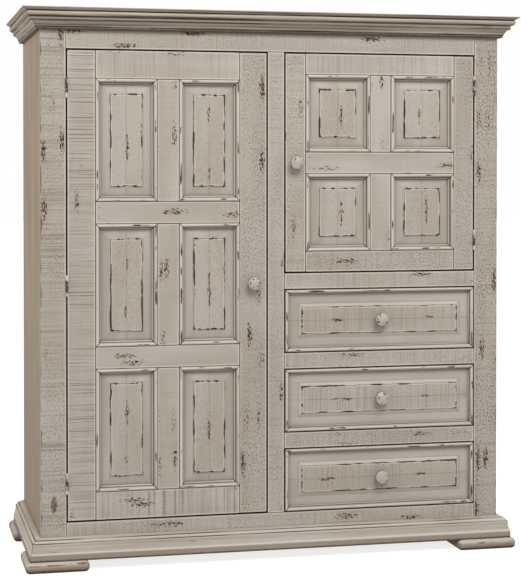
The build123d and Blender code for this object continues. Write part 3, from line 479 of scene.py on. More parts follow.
    def knots(self):
        """The knot of a board that has one, at the place and of the size that it carries."""
        knot = self.attribute("knot")
        along = abs(self.along - knot.part("X")) * 0.36
        across = abs(self.across - knot.part("Y"))
        reach = (along * along + across * across).math("SQRT") + self.blot * 0.006
        stain = (reach - knot.part("Z")).rise(0.003, -0.001)
        self.coat(stain * 0.55, RUBBED_WOOD, -0.2)
        self.coat((stain * 0.28 + self.stroke).rise(0.74, 0.84) * stain * 0.85, MARK_DARK)

    def joints(self, distance, amount=0.85, width=JOINT_WIDTH):
        """A dark line along a joint."""
        self.coat(distance.rise(width, width * 0.3) * amount, GLAZE_AND_SHADE)

    def finished(self, depth=PAINT_DEPTH):
        """Dark glaze and painted shade in corners and gaps, from how enclosed each point is, then the
        surface itself.
        """
        # Painted shade with dark glaze, in corners and gaps
        self.coat(self.closeness(CORNER_REACH).rise(0.30, 0.75) * 0.82, GLAZE_AND_SHADE)
        roughness = PAINT_ROUGHNESS - self.relief * 0.12
        return self.made(roughness, depth, Specular_IOR_Level=PAINT_SPECULAR)


def board_paint():
    """Rough-sawn rails, stiles and posts, with dark joints at their ends."""
    paint = Whitewash("whitewashed_boards", PAINT_LIGHT, PAINT_SHADE)
    paint.grain(0.22)
    paint.kerfs()
    paint.pebbles()
    paint.gouges()
    paint.knots()
    paint.nails()
    paint.arrises()
    paint.joints(paint.end, 0.90, END_JOINT_WIDTH)
    # Dark lines along the long edges: joints between boards, and beside the door gaps painted shade that
    # widens them
    paint.joints(paint.side, paint.front * 0.92, SIDE_JOINT_WIDTH)
    # The edges of boards inside the gaps stained dark, which also stands for the shade in the gaps
    inside_gap = paint.through.rise(0.0006, 0.0030) * paint.side.rise(0.0022, 0.0010)
    paint.coat(inside_gap * 0.96, EDGE_STAIN_AND_GAP_SHADE)
    for edge in (paint.across, paint.far_across):
        corner = abs(edge - EDGE_IN_OPEN)
        outside = corner.rise(0.0012, 0.0004) * paint.through.rise(0.0004, 0.0016)
        paint.coat(outside * 0.80, SIDE_LIGHT)
        paint.coat((paint.chip - corner * 45.0).rise(0.44, 0.53) * paint.front * 0.85, RUBBED_WOOD)
    return paint.finished()


def field_paint(name, chamfer, brink):
    """Raised fields, each glued up from two boards: a chamfer round the field with a painted highlight on
    it, then strips at the brink, with brown glaze and painted shade deepening towards them.
    """
    paint = Whitewash(name, PAINT_LIGHT, PAINT_SHADE)
    paint.grain(0.20)
    paint.kerfs()
    paint.pebbles()
    paint.gouges()
    paint.joints(abs(paint.across - paint.far_across) * 0.5, 0.35)
    beyond = 0.0 - paint.end.least(paint.side)
    paint.coat(beyond.rise(0.0010, 0.0) * 0.22, PAINT_SHADE)
    # Brown glaze and painted shade, deepening towards the strips that stand over the margin
    paint.coat(beyond.rise(brink - 0.009, brink) * 0.32, KERF_BROWN_AND_SHADE)
    # Painted highlight on the chamfer
    slope = beyond.rise(0.0006, 0.0014) * beyond.rise(chamfer, chamfer - 0.001)
    paint.coat(slope * 0.25, PALE_PAINT_AND_HIGHLIGHT)
    paint.coat(abs(paint.end - paint.side).rise(0.0016, 0.0004) * slope * 0.55, KERF_BROWN_AND_SHADE)
    paint.coat(abs(beyond - chamfer).rise(0.0018, 0.0004) * 0.40, KERF_BROWN_AND_SHADE)
    paint.rubs()
    return paint.finished()


def moulding_paint(name, light, shade, streaks):
    """Lengths of moulding: streaks of dark glaze along them, and brown scrapes."""
    paint = Whitewash(name, light, shade)
    paint.grain(0.18)
    streak = paint.noise(paint.place, GLAZE_STREAKS)
    paint.coat(streak.rise(0.52, 0.66) * streaks, GLAZE_AND_SHADE)
    paint.coat(streak.rise(0.44, 0.34) * 0.35, PALE_PAINT_AND_HIGHLIGHT)
    scrape = paint.noise(paint.place, SCRAPES)
    paint.coat(scrape.rise(0.67, 0.72) * paint.marks * 0.85, RUBBED_WOOD, -0.4)
    return paint


def strip_paint():
    """Thin strips round the panels: a painted highlight along the crest with brown scrapes, and dark grooves
    beside it.
    """
    paint = Whitewash("whitewashed_strips", PAINT_LIGHT, PAINT_SHADE)
    paint.grain(0.15)
    # Painted highlight along the crest
    crest = abs(paint.across - STRIP_CREST).rise(0.0040, 0.0010)
    paint.coat(crest * 0.75, PALE_PAINT_AND_HIGHLIGHT)
    scrape = paint.noise(paint.place, STRIP_SCRAPES)
    paint.coat((scrape + crest * 0.2).rise(0.775, 0.81) * 0.94, RUBBED_WOOD, -0.6)
    paint.coat((scrape + crest * 0.2 + paint.stroke * 0.25).rise(0.96, 1.02) * 0.90, MARK_DARK)
    paint.joints(abs(paint.across - STRIP_GROOVE), 0.75)
    paint.joints(paint.across, 0.75, STRIP_EDGE_WIDTH)
    paint.joints(abs(paint.end - paint.across), 0.90, MITRE_WIDTH)
    return paint.finished()


def long_moulding_paint(name, light, shade, profile, streaks):
    """The crown and the base: dark glaze lies in the grooves of a profile, each with a painted highlight
    beside it; a painted highlight runs along each arris with painted shade below, and painted shade with
    dark glaze lies along the lowest part.
    """
    paint = moulding_paint(name, light, shade, streaks)
    height = paint.through
    width = profile.groove_width
    settled = paint.noise(paint.place, GLAZE_PATCHES).rise(0.20, 0.58)
    for groove in profile.grooves:
        paint.coat(abs(height - groove).rise(width, width * 0.3) * settled * 0.95, GLAZE_AND_SHADE)
        # Painted highlight beside each groove
        paint.coat(abs(height - groove + width * 1.5).rise(0.0026, 0.0004) * 0.55, PALE_PAINT_AND_HIGHLIGHT)
    for arris in profile.arrises:
        # Painted highlight along the arris, painted shade on the fascia below it
        paint.coat(abs(height - arris - 0.002).rise(0.0030, 0.0008) * 0.75, PALE_PAINT_AND_HIGHLIGHT)
        paint.coat((height + paint.blot * 0.003).rise(arris + 0.001, arris - 0.002) * 0.75, FOOT_SHADE)
    # Painted shade with dark glaze along the bottom of the profile
    paint.coat((height + paint.blot * 0.004).rise(0.0085, 0.0040) * 0.85, GLAZE_AND_SHADE)
    paint.joints(abs(paint.end - paint.across))
    return paint.finished()


def foot_paint():
    """The feet, streaked like the base, with a painted highlight along the top and painted shade down the
    lower half, darkest at the floor.
    """
    paint = moulding_paint("whitewashed_feet", FOOT_LIGHT, FOOT_SHADE, streaks=0.30)
    height = paint.through
    # Painted highlight along the top, then painted shade below, darkest at the floor
    paint.coat(height.rise(0.017, 0.024) * 0.55, PALE_PAINT_AND_HIGHLIGHT)
    paint.coat(height.rise(0.021, 0.011) * 0.48, KERF_BROWN_AND_SHADE)
    paint.coat((height + paint.blot * 0.006).rise(0.015, 0.008) * 0.92, GLAZE_AND_SHADE)
    paint.coat((paint.chip - abs(height - FOOT_CREST) * 30.0).rise(0.50, 0.56) * 0.85, RUBBED_WOOD)
    return paint.finished()


def side_paint():
    """Wide plain boards with a thin brown wash, and painted shade towards the floor."""
    paint = Whitewash("whitewashed_sides", SIDE_LIGHT, SIDE_SHADE)
    paint.grain(0.55)
    streak = paint.noise(paint.place, SIDE_STREAKS)
    paint.coat(streak.rise(0.44, 0.68) * 0.75, SIDE_SHADE)
    # Painted shade, deepening towards the floor
    paint.coat(paint.along.rise(SIDE_UNSHADED_HEIGHT, SIDE_SHADED_HEIGHT) * 0.85, SIDE_SHADE)
    paint.pebbles()
    paint.gouges()
    return paint.finished(SIDE_DEPTH)


def knob_paint():
    """Thick paint on a turned knob, chipped round its rim, with painted shade on its neck and in the corner
    at its foot. Attribute near is measured from its middle.
    """
    finish = Finish("painted_knobs", KNOB_PAINT)
    place = finish.attribute("near")
    seed = finish.attribute("wear").part("X")
    turned = place.scaled((1.0, 0.0, 1.0))
    radius = finish.node("VectorMath", {"operation": "LENGTH"}, {0: turned}, "Value")
    shifted = place.moved(finish.node("CombineXYZ", {}, {0: seed, 1: seed * 0.7, 2: seed * 1.3}))
    drift = finish.noise(shifted, KNOB_DRIFT)
    finish.coat(drift.rise(0.66, 0.36) * 0.6, PAINT_SHADE)
    ring = abs(radius - KNOB_RING).rise(0.0011, 0.0002) * drift.rise(0.42, 0.60)
    finish.coat(ring * 0.45, KERF_BROWN_AND_SHADE)
    rim = abs(radius - KNOB_CHIPS).rise(0.0040, 0.0010)
    bare = (finish.noise(shifted, KNOB_FLAKES) + rim * 0.12).rise(0.685, 0.705)
    finish.coat(bare * 0.97, MARK_DARK)
    # Painted shade on the neck and in the corner where the knob meets the drawer
    finish.coat(place.part("Y").rise(*KNOB_NECK) * 0.90, GLAZE_AND_SHADE)
    finish.coat(finish.closeness(CORNER_REACH).rise(0.35, 0.8) * 0.8, GLAZE_AND_SHADE)
    finish.relief = drift * 0.2 - bare
    return finish.made(KNOB_ROUGHNESS + bare * 0.25, KNOB_DEPTH)


def hinge_paint():
    """Paint flaking off old hinges."""
    finish = Finish("flaking_hinges", HINGE_PAINT)
    place = finish.node("TexCoord", output="Object")
    drift = finish.noise(place, HINGE_DRIFT)
    finish.coat(drift.rise(0.65, 0.35) * 0.6, PAINT_SHADE)
    height = place.part("Z")
    reach = abs(height - TALL_HINGES[0])
    for centre in TALL_HINGES[1:] + SHORT_HINGES:
        reach = reach.least(abs(height - centre))
    bare = (finish.noise(place, HINGE_FLAKES) + reach.rise(0.021, 0.012) * 0.24).rise(0.67, 0.70)
    finish.coat(bare, HINGE_BARE)
    finish.relief = drift * 0.2 - bare
    return finish.made(HINGE_ROUGHNESS + bare * 0.15, HINGE_DEPTH)


def along_grain(grain, across, along):
    """Features a metre on each axis, for a pattern drawn out along the grain."""
    return [along if axis == grain else across for axis in AXES]


def raw_pine(name, grain, boards=None):
    """Bare knotty pine. Its grain is along one axis, and along y on the sides of what runs along x.

    Boards are the left edge of the first of a row and their pitch: each then has a grain of its own.
    """
    finish = Finish(name, PINE_LIGHT)
    place = finish.node("TexCoord", output="Object")
    x, y, z = place.parts()
    if grain == "x":
        sideways = abs(finish.node("TexCoord", output="Normal").part("X")).rise(0.4, 0.6)
        place = finish.node("CombineXYZ", {}, {0: x + (y - x) * sideways, 1: y + (x - y) * sideways, 2: z})
    if boards:
        first, pitch = boards
        board = ((x - first) * (1.0 / pitch)).math("FLOOR")
        place = finish.node("CombineXYZ", {}, {0: x + board * 0.31, 2: z + board * 2.7})
    cell = {"Vector": place.scaled(along_grain(grain, 5.5, 1.9)), "Scale": 1.0}
    chance = finish.node("TexVoronoi", {}, cell, "Color").part("X").rise(0.52, 0.56)
    nearest = finish.node("TexVoronoi", {}, cell, "Distance")
    drift = finish.noise(place, Pattern(along_grain(grain, 7.0, 0.55), 2.0, 0.4))
    rings = drift + nearest.rise(0.26, 0.0) * chance * 0.16
    lines = abs((rings * 17.0).math("FRACT") - 0.5).rise(0.36, 0.06)
    finish.coat(lines * 0.50, PINE_DARK)
    finish.coat(drift.rise(0.40, 0.62) * 0.35, PINE_DARK)
    pores = finish.noise(place, Pattern(along_grain(grain, 420.0, 9.0)))
    finish.coat(pores.rise(0.50, 0.72) * 0.28, PINE_DARK)
    knot = nearest.rise(0.085, 0.060) * chance
    finish.coat(knot * 0.85, PINE_KNOT)
    finish.relief = pores * 0.5 + lines + knot
    return finish.made(PINE_ROUGHNESS + lines * 0.1, PINE_DEPTH, Specular_IOR_Level=PINE_SPECULAR)


def worn_steel():
    """Plated steel with fine brushing, and a dark slot floor, a painted shade, where an attribute marks it.
    """
    finish = Finish("plated_steel", STEEL_SHADE)
    place = finish.node("TexCoord", output="Object")
    brushed = finish.noise(place, BRUSHING)
    slot = finish.node("Attribute", {"attribute_name": "slot"}, output="Fac")
    finish.coat(brushed, STEEL)
    finish.coat(slot, MARK_DARK)
    return finish.made(STEEL_ROUGHNESS + brushed * 0.15, Metallic=1.0 - slot)


def moulded_plastic():
    finish = Finish("catch_plastic", BROWN_PLASTIC)
    finish.relief = finish.noise(finish.node("TexCoord", output="Object"), PLASTIC_GRAIN)
    return finish.made(PLASTIC_ROUGHNESS + finish.relief * 0.15, PLASTIC_DEPTH)


# Meshes from the frame

def corners(verts):
    """The lowest and highest corners of some vertices."""
    low = Vector(min(vert.co[axis] for vert in verts) for axis in range(3))
    high = Vector(max(vert.co[axis] for vert in verts) for axis in range(3))
    return low, high


def solids_of(bm):
    """The vertices of each separate solid, from the lowest up and then from left to right."""
    seen = set()
    solids = []
    for first in bm.verts:
        if first in seen:
            continue
        seen.add(first)
        solid = [first]
        for vert in solid:
            for edge in vert.link_edges:
                other = edge.other_vert(vert)
                if other not in seen:
                    seen.add(other)
                    solid.append(other)
        solids.append(solid)
    return sorted(solids, key=lambda solid: tuple(round(value, 2) for value in reversed(corners(solid)[0])))


def joined_copy(node):
    """A copy of a node's mesh with its triangles joined into whole faces."""
    bm = bmesh.new()
    bm.from_mesh(frame["nodes"][node].data)
    bmesh.ops.remove_doubles(bm, verts=bm.verts, dist=JOIN)
    bmesh.ops.dissolve_limit(bm, angle_limit=FLAT_ANGLE, verts=bm.verts, edges=bm.edges)
    for name in ("near", "far", "finish", "wear", "knot"):
        bm.verts.layers.float_vector.new(name)
    return bm


def front_of(solid):
    """The vertices on the front of a solid."""
    nearest = min(vert.co.y for vert in solid)
    return [vert for vert in solid if vert.co.y < nearest + FRONT_LAYER]


def longer_edge_is_high(solid, along, across):
    """Whether a mitred strip's longer edge is the one at its high side."""
    low, high = corners(solid)
    middle = (low[across] + high[across]) / 2
    spans = []
    for half in ([v for v in solid if v.co[across] < middle], [v for v in solid if v.co[across] >= middle]):
        half_low, half_high = corners(half)
        spans.append(half_high[along] - half_low[along])
    return spans[1] > spans[0]


def measure(bm, solid, boards, seed, rough=None):
    """Write one board's own measures to its vertices. Outside the rough ones, the board is smooth."""
    through = AXES[boards.through]
    mitred = boards.grain is None or boards.through == "z"
    low, high = corners(solid if mitred or through != 1 else front_of(solid))
    spans = [-1 if axis == through else high[axis] - low[axis] for axis in range(3)]
    along = AXES[boards.grain] if boards.grain else spans.index(max(spans))
    across = 3 - along - through
    flip = mitred and longer_edge_is_high(solid, along, across)
    layers = bm.verts.layers.float_vector
    order = (along, across, through)
    for vert in solid:
        near = Vector(vert.co[axis] - low[axis] for axis in order)
        far = Vector(high[axis] - vert.co[axis] for axis in order)
        if flip:
            near.y, far.y = far.y, near.y
        if boards.grain == "y":
            far.x += EDGE_IN_OPEN  # the back ends of the side mouldings are square
        near.y += boards.edges[0]
        far.y += boards.edges[1]
        smooth = rough is not None and vert not in rough
        vert[layers["near"]] = near
        vert[layers["far"]] = far
        vert[layers["finish"]] = SMOOTH if smooth else (boards.kerf, boards.pebble, boards.marks)
        rubbed, split = vert[layers["wear"]].yz
        vert[layers["wear"]] = (seed, rubbed + boards.nailed, split)
        vert[layers["knot"]] = boards.knot


def finish_piece(bm, node, material, curved):
    """Turn a dressed mesh into the piece that stands for a node."""
    bmesh.ops.recalc_face_normals(bm, faces=bm.faces)
    mesh = bpy.data.meshes.new(node + "_dressed")
    bm.to_mesh(mesh)
    bm.free()
    mesh.polygons.foreach_set("use_smooth", [curved] * len(mesh.polygons))
    if curved:
        mesh.set_sharp_from_angle(angle=SHARP_ANGLE)
    mesh.materials.append(material)
    piece = bpy.data.objects.new(node + "_dressed", mesh)
    bpy.context.scene.collection.objects.link(piece)
    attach(piece, body_of[node])
    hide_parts(node)


def worn_level(level):
    """Where a height on the base's profile is on its worn profile."""
    steps = list(zip(PLINTH_LEVELS, WORN_LEVELS))
    for (low, worn_low), (high, worn_high) in zip(steps, steps[1:]):
        if level <= high:
            return worn_low + (level - low) * (worn_high - worn_low) / (high - low)
    return level


def dress_boards(node, kinds, material, seed, curved=False):
    """Dress a node's boards. A node of several boards may have a kind for each."""
    bm = joined_copy(node)
    if node.startswith("plinth"):
        foot = corners(bm.verts)[0].z
        for vert in bm.verts:
            vert.co.z = foot + worn_level(vert.co.z - foot)
    for place, solid in enumerate(solids_of(bm)):
        measure(bm, solid, kinds[place % len(kinds)], seed + SEED_STEP * place)
    finish_piece(bm, node, material, curved)


def dress_knob(node, seed):
    bm = joined_copy(node)
    low, high = corners(bm.verts)
    middle = Vector(((low.x + high.x) / 2, low.y, (low.z + high.z) / 2))
    layers = bm.verts.layers.float_vector
    for vert in bm.verts:
        vert[layers["near"]] = vert.co - middle
        vert[layers["wear"]] = (seed, 0.0, 0.0)
    finish_piece(bm, node, painted_knobs, True)


# Screws

def screw_tree():
    """A tree that sets a slotted screw head on each point, turned the way that the point faces."""
    tree = bpy.data.node_groups.new("slotted_screws", "GeometryNodeTree")

    def node(kind, settings=None, sockets=None):
        """Add a node and give its outputs. A list of links goes to one socket."""
        made = tree.nodes.new(kind)
        for name, setting in (settings or {}).items():
            setattr(made, name, setting)
        for name, value in (sockets or {}).items():
            for source in value if isinstance(value, list) else [value]:
                if isinstance(source, bpy.types.NodeSocket):
                    tree.links.new(source, made.inputs[name])
                else:
                    made.inputs[name].default_value = source
        return made.outputs

    def times(value, factor):
        return node("ShaderNodeMath", {"operation": "MULTIPLY"}, {0: value, 1: factor})[0]

    def disc(radius, depth):
        """A disc round the point."""
        sizes = {"Vertices": SCREW_SIDES, "Radius": radius, "Depth": depth}
        return node("GeometryNodeMeshCylinder", {}, sizes)["Mesh"]

    def lifted(geometry, depth):
        """A piece of this depth, moved up so that it stands on the point."""
        step = node("ShaderNodeCombineXYZ", {}, {2: times(depth, 0.5)})[0]
        return node("GeometryNodeTransform", {}, {"Geometry": geometry, "Translation": step})[0]

    sizes = [(name, "Float") for name in SCREW_SIZES]
    for name, kind in [("Points", "Geometry"), *sizes, ("Seed", "Int"), ("Material", "Material")]:
        tree.interface.new_socket(name, in_out="INPUT", socket_type="NodeSocket" + kind)
    tree.interface.new_socket("Screws", in_out="OUTPUT", socket_type="NodeSocketGeometry")
    given = node("NodeGroupInput")

    depth = given["Head Height"]
    radius = times(given["Head Diameter"], 0.5)
    slot_length = times(given["Head Diameter"], 1.2)
    slot_size = node("ShaderNodeCombineXYZ", {}, {0: slot_length, 1: given["Slot Width"], 2: 1.0})[0]
    slot = node("GeometryNodeMeshCube", {}, {"Size": slot_size})["Mesh"]
    cut = {"operation": "DIFFERENCE", "solver": "EXACT"}
    head = node("GeometryNodeMeshBoolean", cut, {"Mesh 1": disc(radius, depth), "Mesh 2": slot})["Mesh"]
    # A dark disc under the slot, marked for the material: painted shade in the slot
    floor_depth = times(depth, 0.25)
    floor = lifted(disc(times(radius, 0.97), floor_depth), floor_depth)
    number = {"data_type": "FLOAT", "domain": "POINT"}
    mark = {"Geometry": floor, "Name": "slot", "Value": 1.0}
    painted_slot_shadow = node("GeometryNodeStoreNamedAttribute", number, mark)[0]
    screw = node("GeometryNodeJoinGeometry", {}, {"Geometry": [lifted(head, depth), painted_slot_shadow]})[0]

    vector = {"data_type": "FLOAT_VECTOR"}
    facing = node("GeometryNodeInputNamedAttribute", vector, {"Name": "facing"})["Attribute"]
    aligned = node("FunctionNodeAlignRotationToVector", {"axis": "Z"}, {"Vector": facing})[0]
    spin = node("FunctionNodeRandomValue", {"data_type": "FLOAT"}, {3: math.pi, "Seed": given["Seed"]})[1]
    turn = node("FunctionNodeAxisAngleToRotation", {}, {"Axis": (0.0, 0.0, 1.0), "Angle": spin})[0]
    spun = {"Rotation": aligned, "Rotate By": turn}
    turned = node("FunctionNodeRotateRotation", {"rotation_space": "LOCAL"}, spun)[0]
    places = {"Points": given["Points"], "Instance": screw, "Rotation": turned}
    placed = node("GeometryNodeInstanceOnPoints", {}, places)[0]
    solid = node("GeometryNodeRealizeInstances", {}, {"Geometry": placed})[0]
    coated = node("GeometryNodeSetMaterial", {}, {"Geometry": solid, "Material": given["Material"]})[0]
    node("NodeGroupOutput", {}, {"Screws": coated})
    return tree


def drive_screws(body, spots, seed):
    """All the screws of one body, from the place and the facing of each."""
    mesh = bpy.data.meshes.new(body + "_screw_places")
    mesh.from_pydata([place for place, facing in spots], [], [])
    facings = mesh.attributes.new("facing", "FLOAT_VECTOR", "POINT")
    facings.data.foreach_set("vector", [value for place, facing in spots for value in facing])
    piece = bpy.data.objects.new(body + "_screws", mesh)
    bpy.context.scene.collection.objects.link(piece)
    modifier = piece.modifiers.new("screws", "NODES")
    modifier.node_group = slotted_screws
    inputs = {**SCREW_SIZES, "Seed": seed, "Material": plated_steel}
    for socket in slotted_screws.interface.items_tree:
        if socket.name in inputs:
            modifier[socket.identifier] = inputs[socket.name]
    piece.data = bpy.data.meshes.new_from_object(piece.evaluated_get(bpy.context.evaluated_depsgraph_get()))
    piece.modifiers.remove(modifier)
    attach(piece, body)


# Hand-hewn fields

def ring_points(low, high, counts):
    """Points round an upright rectangle, anticlockwise from its low left corner as seen from in front."""
    turns = [(low.x, low.z), (high.x, low.z), (high.x, high.z), (low.x, high.z)]
    points = []
    for place, count in enumerate(counts):
        start, end = Vector(turns[place]), Vector(turns[(place + 1) % 4])
        for step in range(count):
            point = start.lerp(end, step / count)
            points.append(Vector((point.x, 0.0, point.y)))
    return points


def sway(point, seed):
    """A wavering shift in the plane of the front, about 1 at most across the grain and 2 along it."""
    shift = Vector()
    for wave, amount in ((HEWN_WAVE, 0.9), (HEWN_RIPPLE, 0.5)):
        place = Vector((point.x * wave, seed * 7.3, point.z * wave))
        shift += amount * Vector((noise.noise(place), 0.0, 2.0 * noise.noise(place + ELSEWHERE)))
    return shift


def loose_ring(bm, points, y, rubbed):
    wear = bm.verts.layers.float_vector["wear"]
    ring = []
    for point in points:
        vert = bm.verts.new((point.x, y, point.z))
        vert[wear] = (0.0, rubbed, 0.0)
        ring.append(vert)
    return ring


def join_rings(bm, outer, inner):
    for place in range(len(outer)):
        after = (place + 1) % len(outer)
        bm.faces.new((outer[place], outer[after], inner[after], inner[place]))


def ring_edges(bm, ring):
    return [bm.edges.get((ring[place - 1], ring[place])) for place in range(len(ring))]


def carve_split(bm, low, high, field, split, seed):
    """Carve one ragged split along the grain. Gives its outline and all its vertices."""
    wear = bm.verts.layers.float_vector["wear"]
    along = AXES[field.grain]
    across = 2 - along
    span = high - low
    start = low[along] + span[along] * split.start
    length = span[along] * (split.end - split.start)
    middle = low[across] + span[across] * (0.5 + split.drift)
    steps = max(5, round(length / SPLIT_STEP))
    left, line, right = [], [], []
    for step in range(steps + 1):
        share = step / steps
        place = Vector((seed * 5.7, share * length * SPLIT_WAVE, 0.3))
        swell = math.sin(math.pi * share)
        centre = middle + SPLIT_WANDER * noise.noise(place)
        ragged = 0.75 + 0.5 * noise.noise(place + Vector((3.1, 0.0, 0.0)))
        half = SPLIT_HALF * max(swell, 0.0) ** 0.6 * ragged
        for side, sign in ((left, -1), (line, 0), (right, 1)):
            if sign and step in (0, steps):
                continue
            spot = Vector((0.0, field.face + (0.0 if sign else SPLIT_DEPTH * swell), 0.0))
            spot[along] = start + share * length
            spot[across] = centre + sign * half
            vert = bm.verts.new(spot)
            vert[wear] = (0.0, 0.0, 0.0 if sign else min(1.0, 3.0 * swell))
            side.append(vert)
    for bank in (left, right):
        bank.insert(0, line[0])
        bank.append(line[-1])
        for step in range(steps):
            quad = [bank[step], bank[step + 1], line[step + 1], line[step]]
            bm.faces.new(list(dict.fromkeys(quad)))
    outline = left + right[-2:0:-1]
    return outline, left + line + right


def hew_field(bm, solid, field, splits, seed):
    """Give a solid's raised field hewn edges and splits. Gives the vertices of its rough face."""
    own = set(solid)
    low, high = corners([vert for vert in solid if abs(vert.co.y - field.face) < SAME_PLANE])
    middle = (low + high) / 2

    def in_bore(vert):
        return math.hypot(vert.co.x - middle.x, vert.co.z - middle.z) < BORE_RADIUS

    raised = []
    for face in bm.faces:
        if face.verts[0] in own and min(vert.co.y for vert in face.verts) < field.foot - SAME_PLANE:
            if not all(in_bore(vert) for vert in face.verts):
                raised.append(face)
    bmesh.ops.delete(bm, geom=raised, context="FACES")
    own = [vert for vert in solid if vert.is_valid]
    open_edges = [edge for edge in bm.edges if edge.is_boundary]
    rim = {vert for edge in open_edges for vert in edge.verts if abs(vert.co.y - field.foot) < SAME_PLANE}
    bore = [edge for edge in open_edges if all(in_bore(vert) for vert in edge.verts)]
    turns = []
    for right, top in ((False, False), (True, False), (True, True), (False, True)):
        turns += [
            vert for vert in own
            if vert in rim and (vert.co.x > middle.x) == right and (vert.co.z > middle.z) == top
        ]
    foot_low, foot_high = turns[0].co, turns[2].co

    wide = round((high.x - low.x) / HEWN_STEP)
    tall = round((high.z - low.z) / HEWN_STEP)
    counts = (wide, tall, wide, tall)
    inset = Vector((HEWN_RIM, 0.0, HEWN_RIM))
    edge_line = ring_points(low, high, counts)
    inner_line = ring_points(low + inset, high - inset, counts)
    shifts = [field.sway * sway(point, seed) for point in edge_line]
    head_line = [point + shift for point, shift in zip(edge_line, shifts)]
    chipped_line = []
    for point, inner, shift in zip(edge_line, inner_line, shifts):
        bite = 0.08 + 0.30 * abs(noise.noise(Vector((point.x * HEWN_CHIPS, seed, point.z * HEWN_CHIPS))))
        chipped_line.append(point.lerp(inner, bite) + shift)
    shoulder_low = foot_low.lerp(low, field.shoulder)
    shoulder_high = foot_high.lerp(high, field.shoulder)
    shoulder_line = ring_points(shoulder_low, shoulder_high, counts)
    shoulder_y = field.foot + (field.head - field.foot) * field.shoulder
    shoulder = loose_ring(bm, shoulder_line, shoulder_y, 0.0)
    head = loose_ring(bm, head_line, field.head, 0.8)
    edge = loose_ring(bm, chipped_line, field.face + HEWN_DROP, 1.0)
    rim_line = [point + 0.9 * shift for point, shift in zip(inner_line, shifts)]
    inner = loose_ring(bm, rim_line, field.face, 0.0)

    starts = [0, wide, wide + tall, 2 * wide + tall, 2 * (wide + tall)]
    for side in range(4):
        run = [shoulder[place % len(shoulder)] for place in range(starts[side], starts[side + 1] + 1)]
        bm.faces.new([turns[side], turns[(side + 1) % 4], *reversed(run)])
    join_rings(bm, shoulder, head)
    join_rings(bm, head, edge)
    join_rings(bm, edge, inner)

    rough = set(inner) | {vert for open_edge in bore for vert in open_edge.verts}
    edges = ring_edges(bm, inner) + bore
    for place, split in enumerate(splits):
        outline, verts = carve_split(bm, low, high, field, split, seed + 0.11 * place)
        edges += ring_edges(bm, outline)
        rough.update(verts)
    bmesh.ops.triangle_fill(bm, use_beauty=True, edges=edges, normal=(0.0, -1.0, 0.0))
    return rough


def dress_fields(node, boards, field, material, splits, seed):
    """Dress a node of raised fields, with a list of splits for each."""
    bm = joined_copy(node)
    rough = set()
    for place in range(len(solids_of(bm))):
        solid = solids_of(bm)[place]
        rough |= hew_field(bm, solid, field, splits[place], seed + SEED_STEP * place)
    for place, solid in enumerate(solids_of(bm)):
        measure(bm, solid, boards, seed + SEED_STEP * place, rough)
    finish_piece(bm, node, material, False)


# The pieces

slot_of = {entry["node"]: entry["material_slot"] for entry in frame["record"]["subparts"]}
body_of = {node: body for body, nodes in frame["record"]["behaviour"]["bodies"].items() for node in nodes}

whitewashed_boards = board_paint()
whitewashed_panels = field_paint("whitewashed_panels", PANEL_CHAMFER, PANEL_BRINK)
whitewashed_drawers = field_paint("whitewashed_drawers", DRAWER_CHAMFER, DRAWER_BRINK)
whitewashed_strips = strip_paint()
whitewashed_crown = long_moulding_paint("whitewashed_crown", CROWN_LIGHT, CROWN_SHADE, CROWN, streaks=0.80)
whitewashed_plinth = long_moulding_paint("whitewashed_plinth", PAINT_LIGHT, BASE_SHADE, PLINTH, streaks=0.22)
crown_ends = long_moulding_paint("whitewashed_crown_ends", END_LIGHT, END_SHADE, CROWN, streaks=0.55)
plinth_ends = long_moulding_paint("whitewashed_plinth_ends", BASE_LIGHT, BASE_SHADE, PLINTH, streaks=0.22)
whitewashed_feet = foot_paint()
whitewashed_sides = side_paint()
painted_knobs = knob_paint()
flaking_hinges = hinge_paint()
plated_steel = worn_steel()

# Strength of saw kerfs, pebbled grain and gouges on each board, in the order of its node's solids
POST_KNOT = (0.140, EDGE_IN_OPEN + 0.034, 0.010)
RAILS_AND_STILES = {
    "left_post": [Boards("z", 0.60, 0.95, 1.0, (EDGE_IN_OPEN, EDGE_IN_GAP), knot=POST_KNOT)],
    "right_post": [Boards("z", 0.32, 1.55, 1.0, (EDGE_IN_GAP, EDGE_IN_OPEN))],
    "center_stile": [Boards("z", 0.26, 0.80, 0.9, GAP_BOTH)],
    "top_rail": [Boards("x", 0.28, 0.65, 1.0, GAP_LOW)],
    "bottom_rail": [Boards("x", 0.25, 0.75, 0.9, GAP_HIGH)],
    "middle_rail": [Boards("x", 0.24, 0.50, 0.9, GAP_BOTH)],
    "drawer_rails": [Boards("x", 0.30, 0.90, 0.8, GAP_BOTH)],
    "left_door_hinge_stile": [Boards("z", 0.80, 0.32, 0.8, GAP_LOW)],
    "left_door_knob_stile": [Boards("z", 0.10, 1.10, 1.0, GAP_HIGH)],
    "left_door_rails": [
        Boards("x", 0.60, 0.45, 0.9, GAP_LOW),
        Boards("x", 0.05, 0.15, 0.8),
        Boards("x", 0.05, 0.15, 0.9, nailed=1.0),
        Boards("x", 0.25, 0.20, 0.7, GAP_HIGH),
    ],
    "left_door_muntins": [Boards("z", 0.08, 0.20, 0.8)],
    "right_door_hinge_stile": [Boards("z", 0.25, 1.20, 1.0, GAP_HIGH)],
    "right_door_knob_stile": [Boards("z", 0.25, 0.85, 0.9, GAP_LOW)],
    "right_door_rails": [
        Boards("x", 0.25, 1.10, 0.9, GAP_LOW),
        Boards("x", 0.05, 0.20, 0.9, nailed=1.0),
        Boards("x", 0.32, 0.15, 0.2, GAP_HIGH),
    ],
    "right_door_muntins": [Boards("z", 0.05, 0.20, 0.9)],
}
for place, (node, kinds) in enumerate(RAILS_AND_STILES.items()):
    dress_boards(node, kinds, whitewashed_boards, seed=1.0 + place)

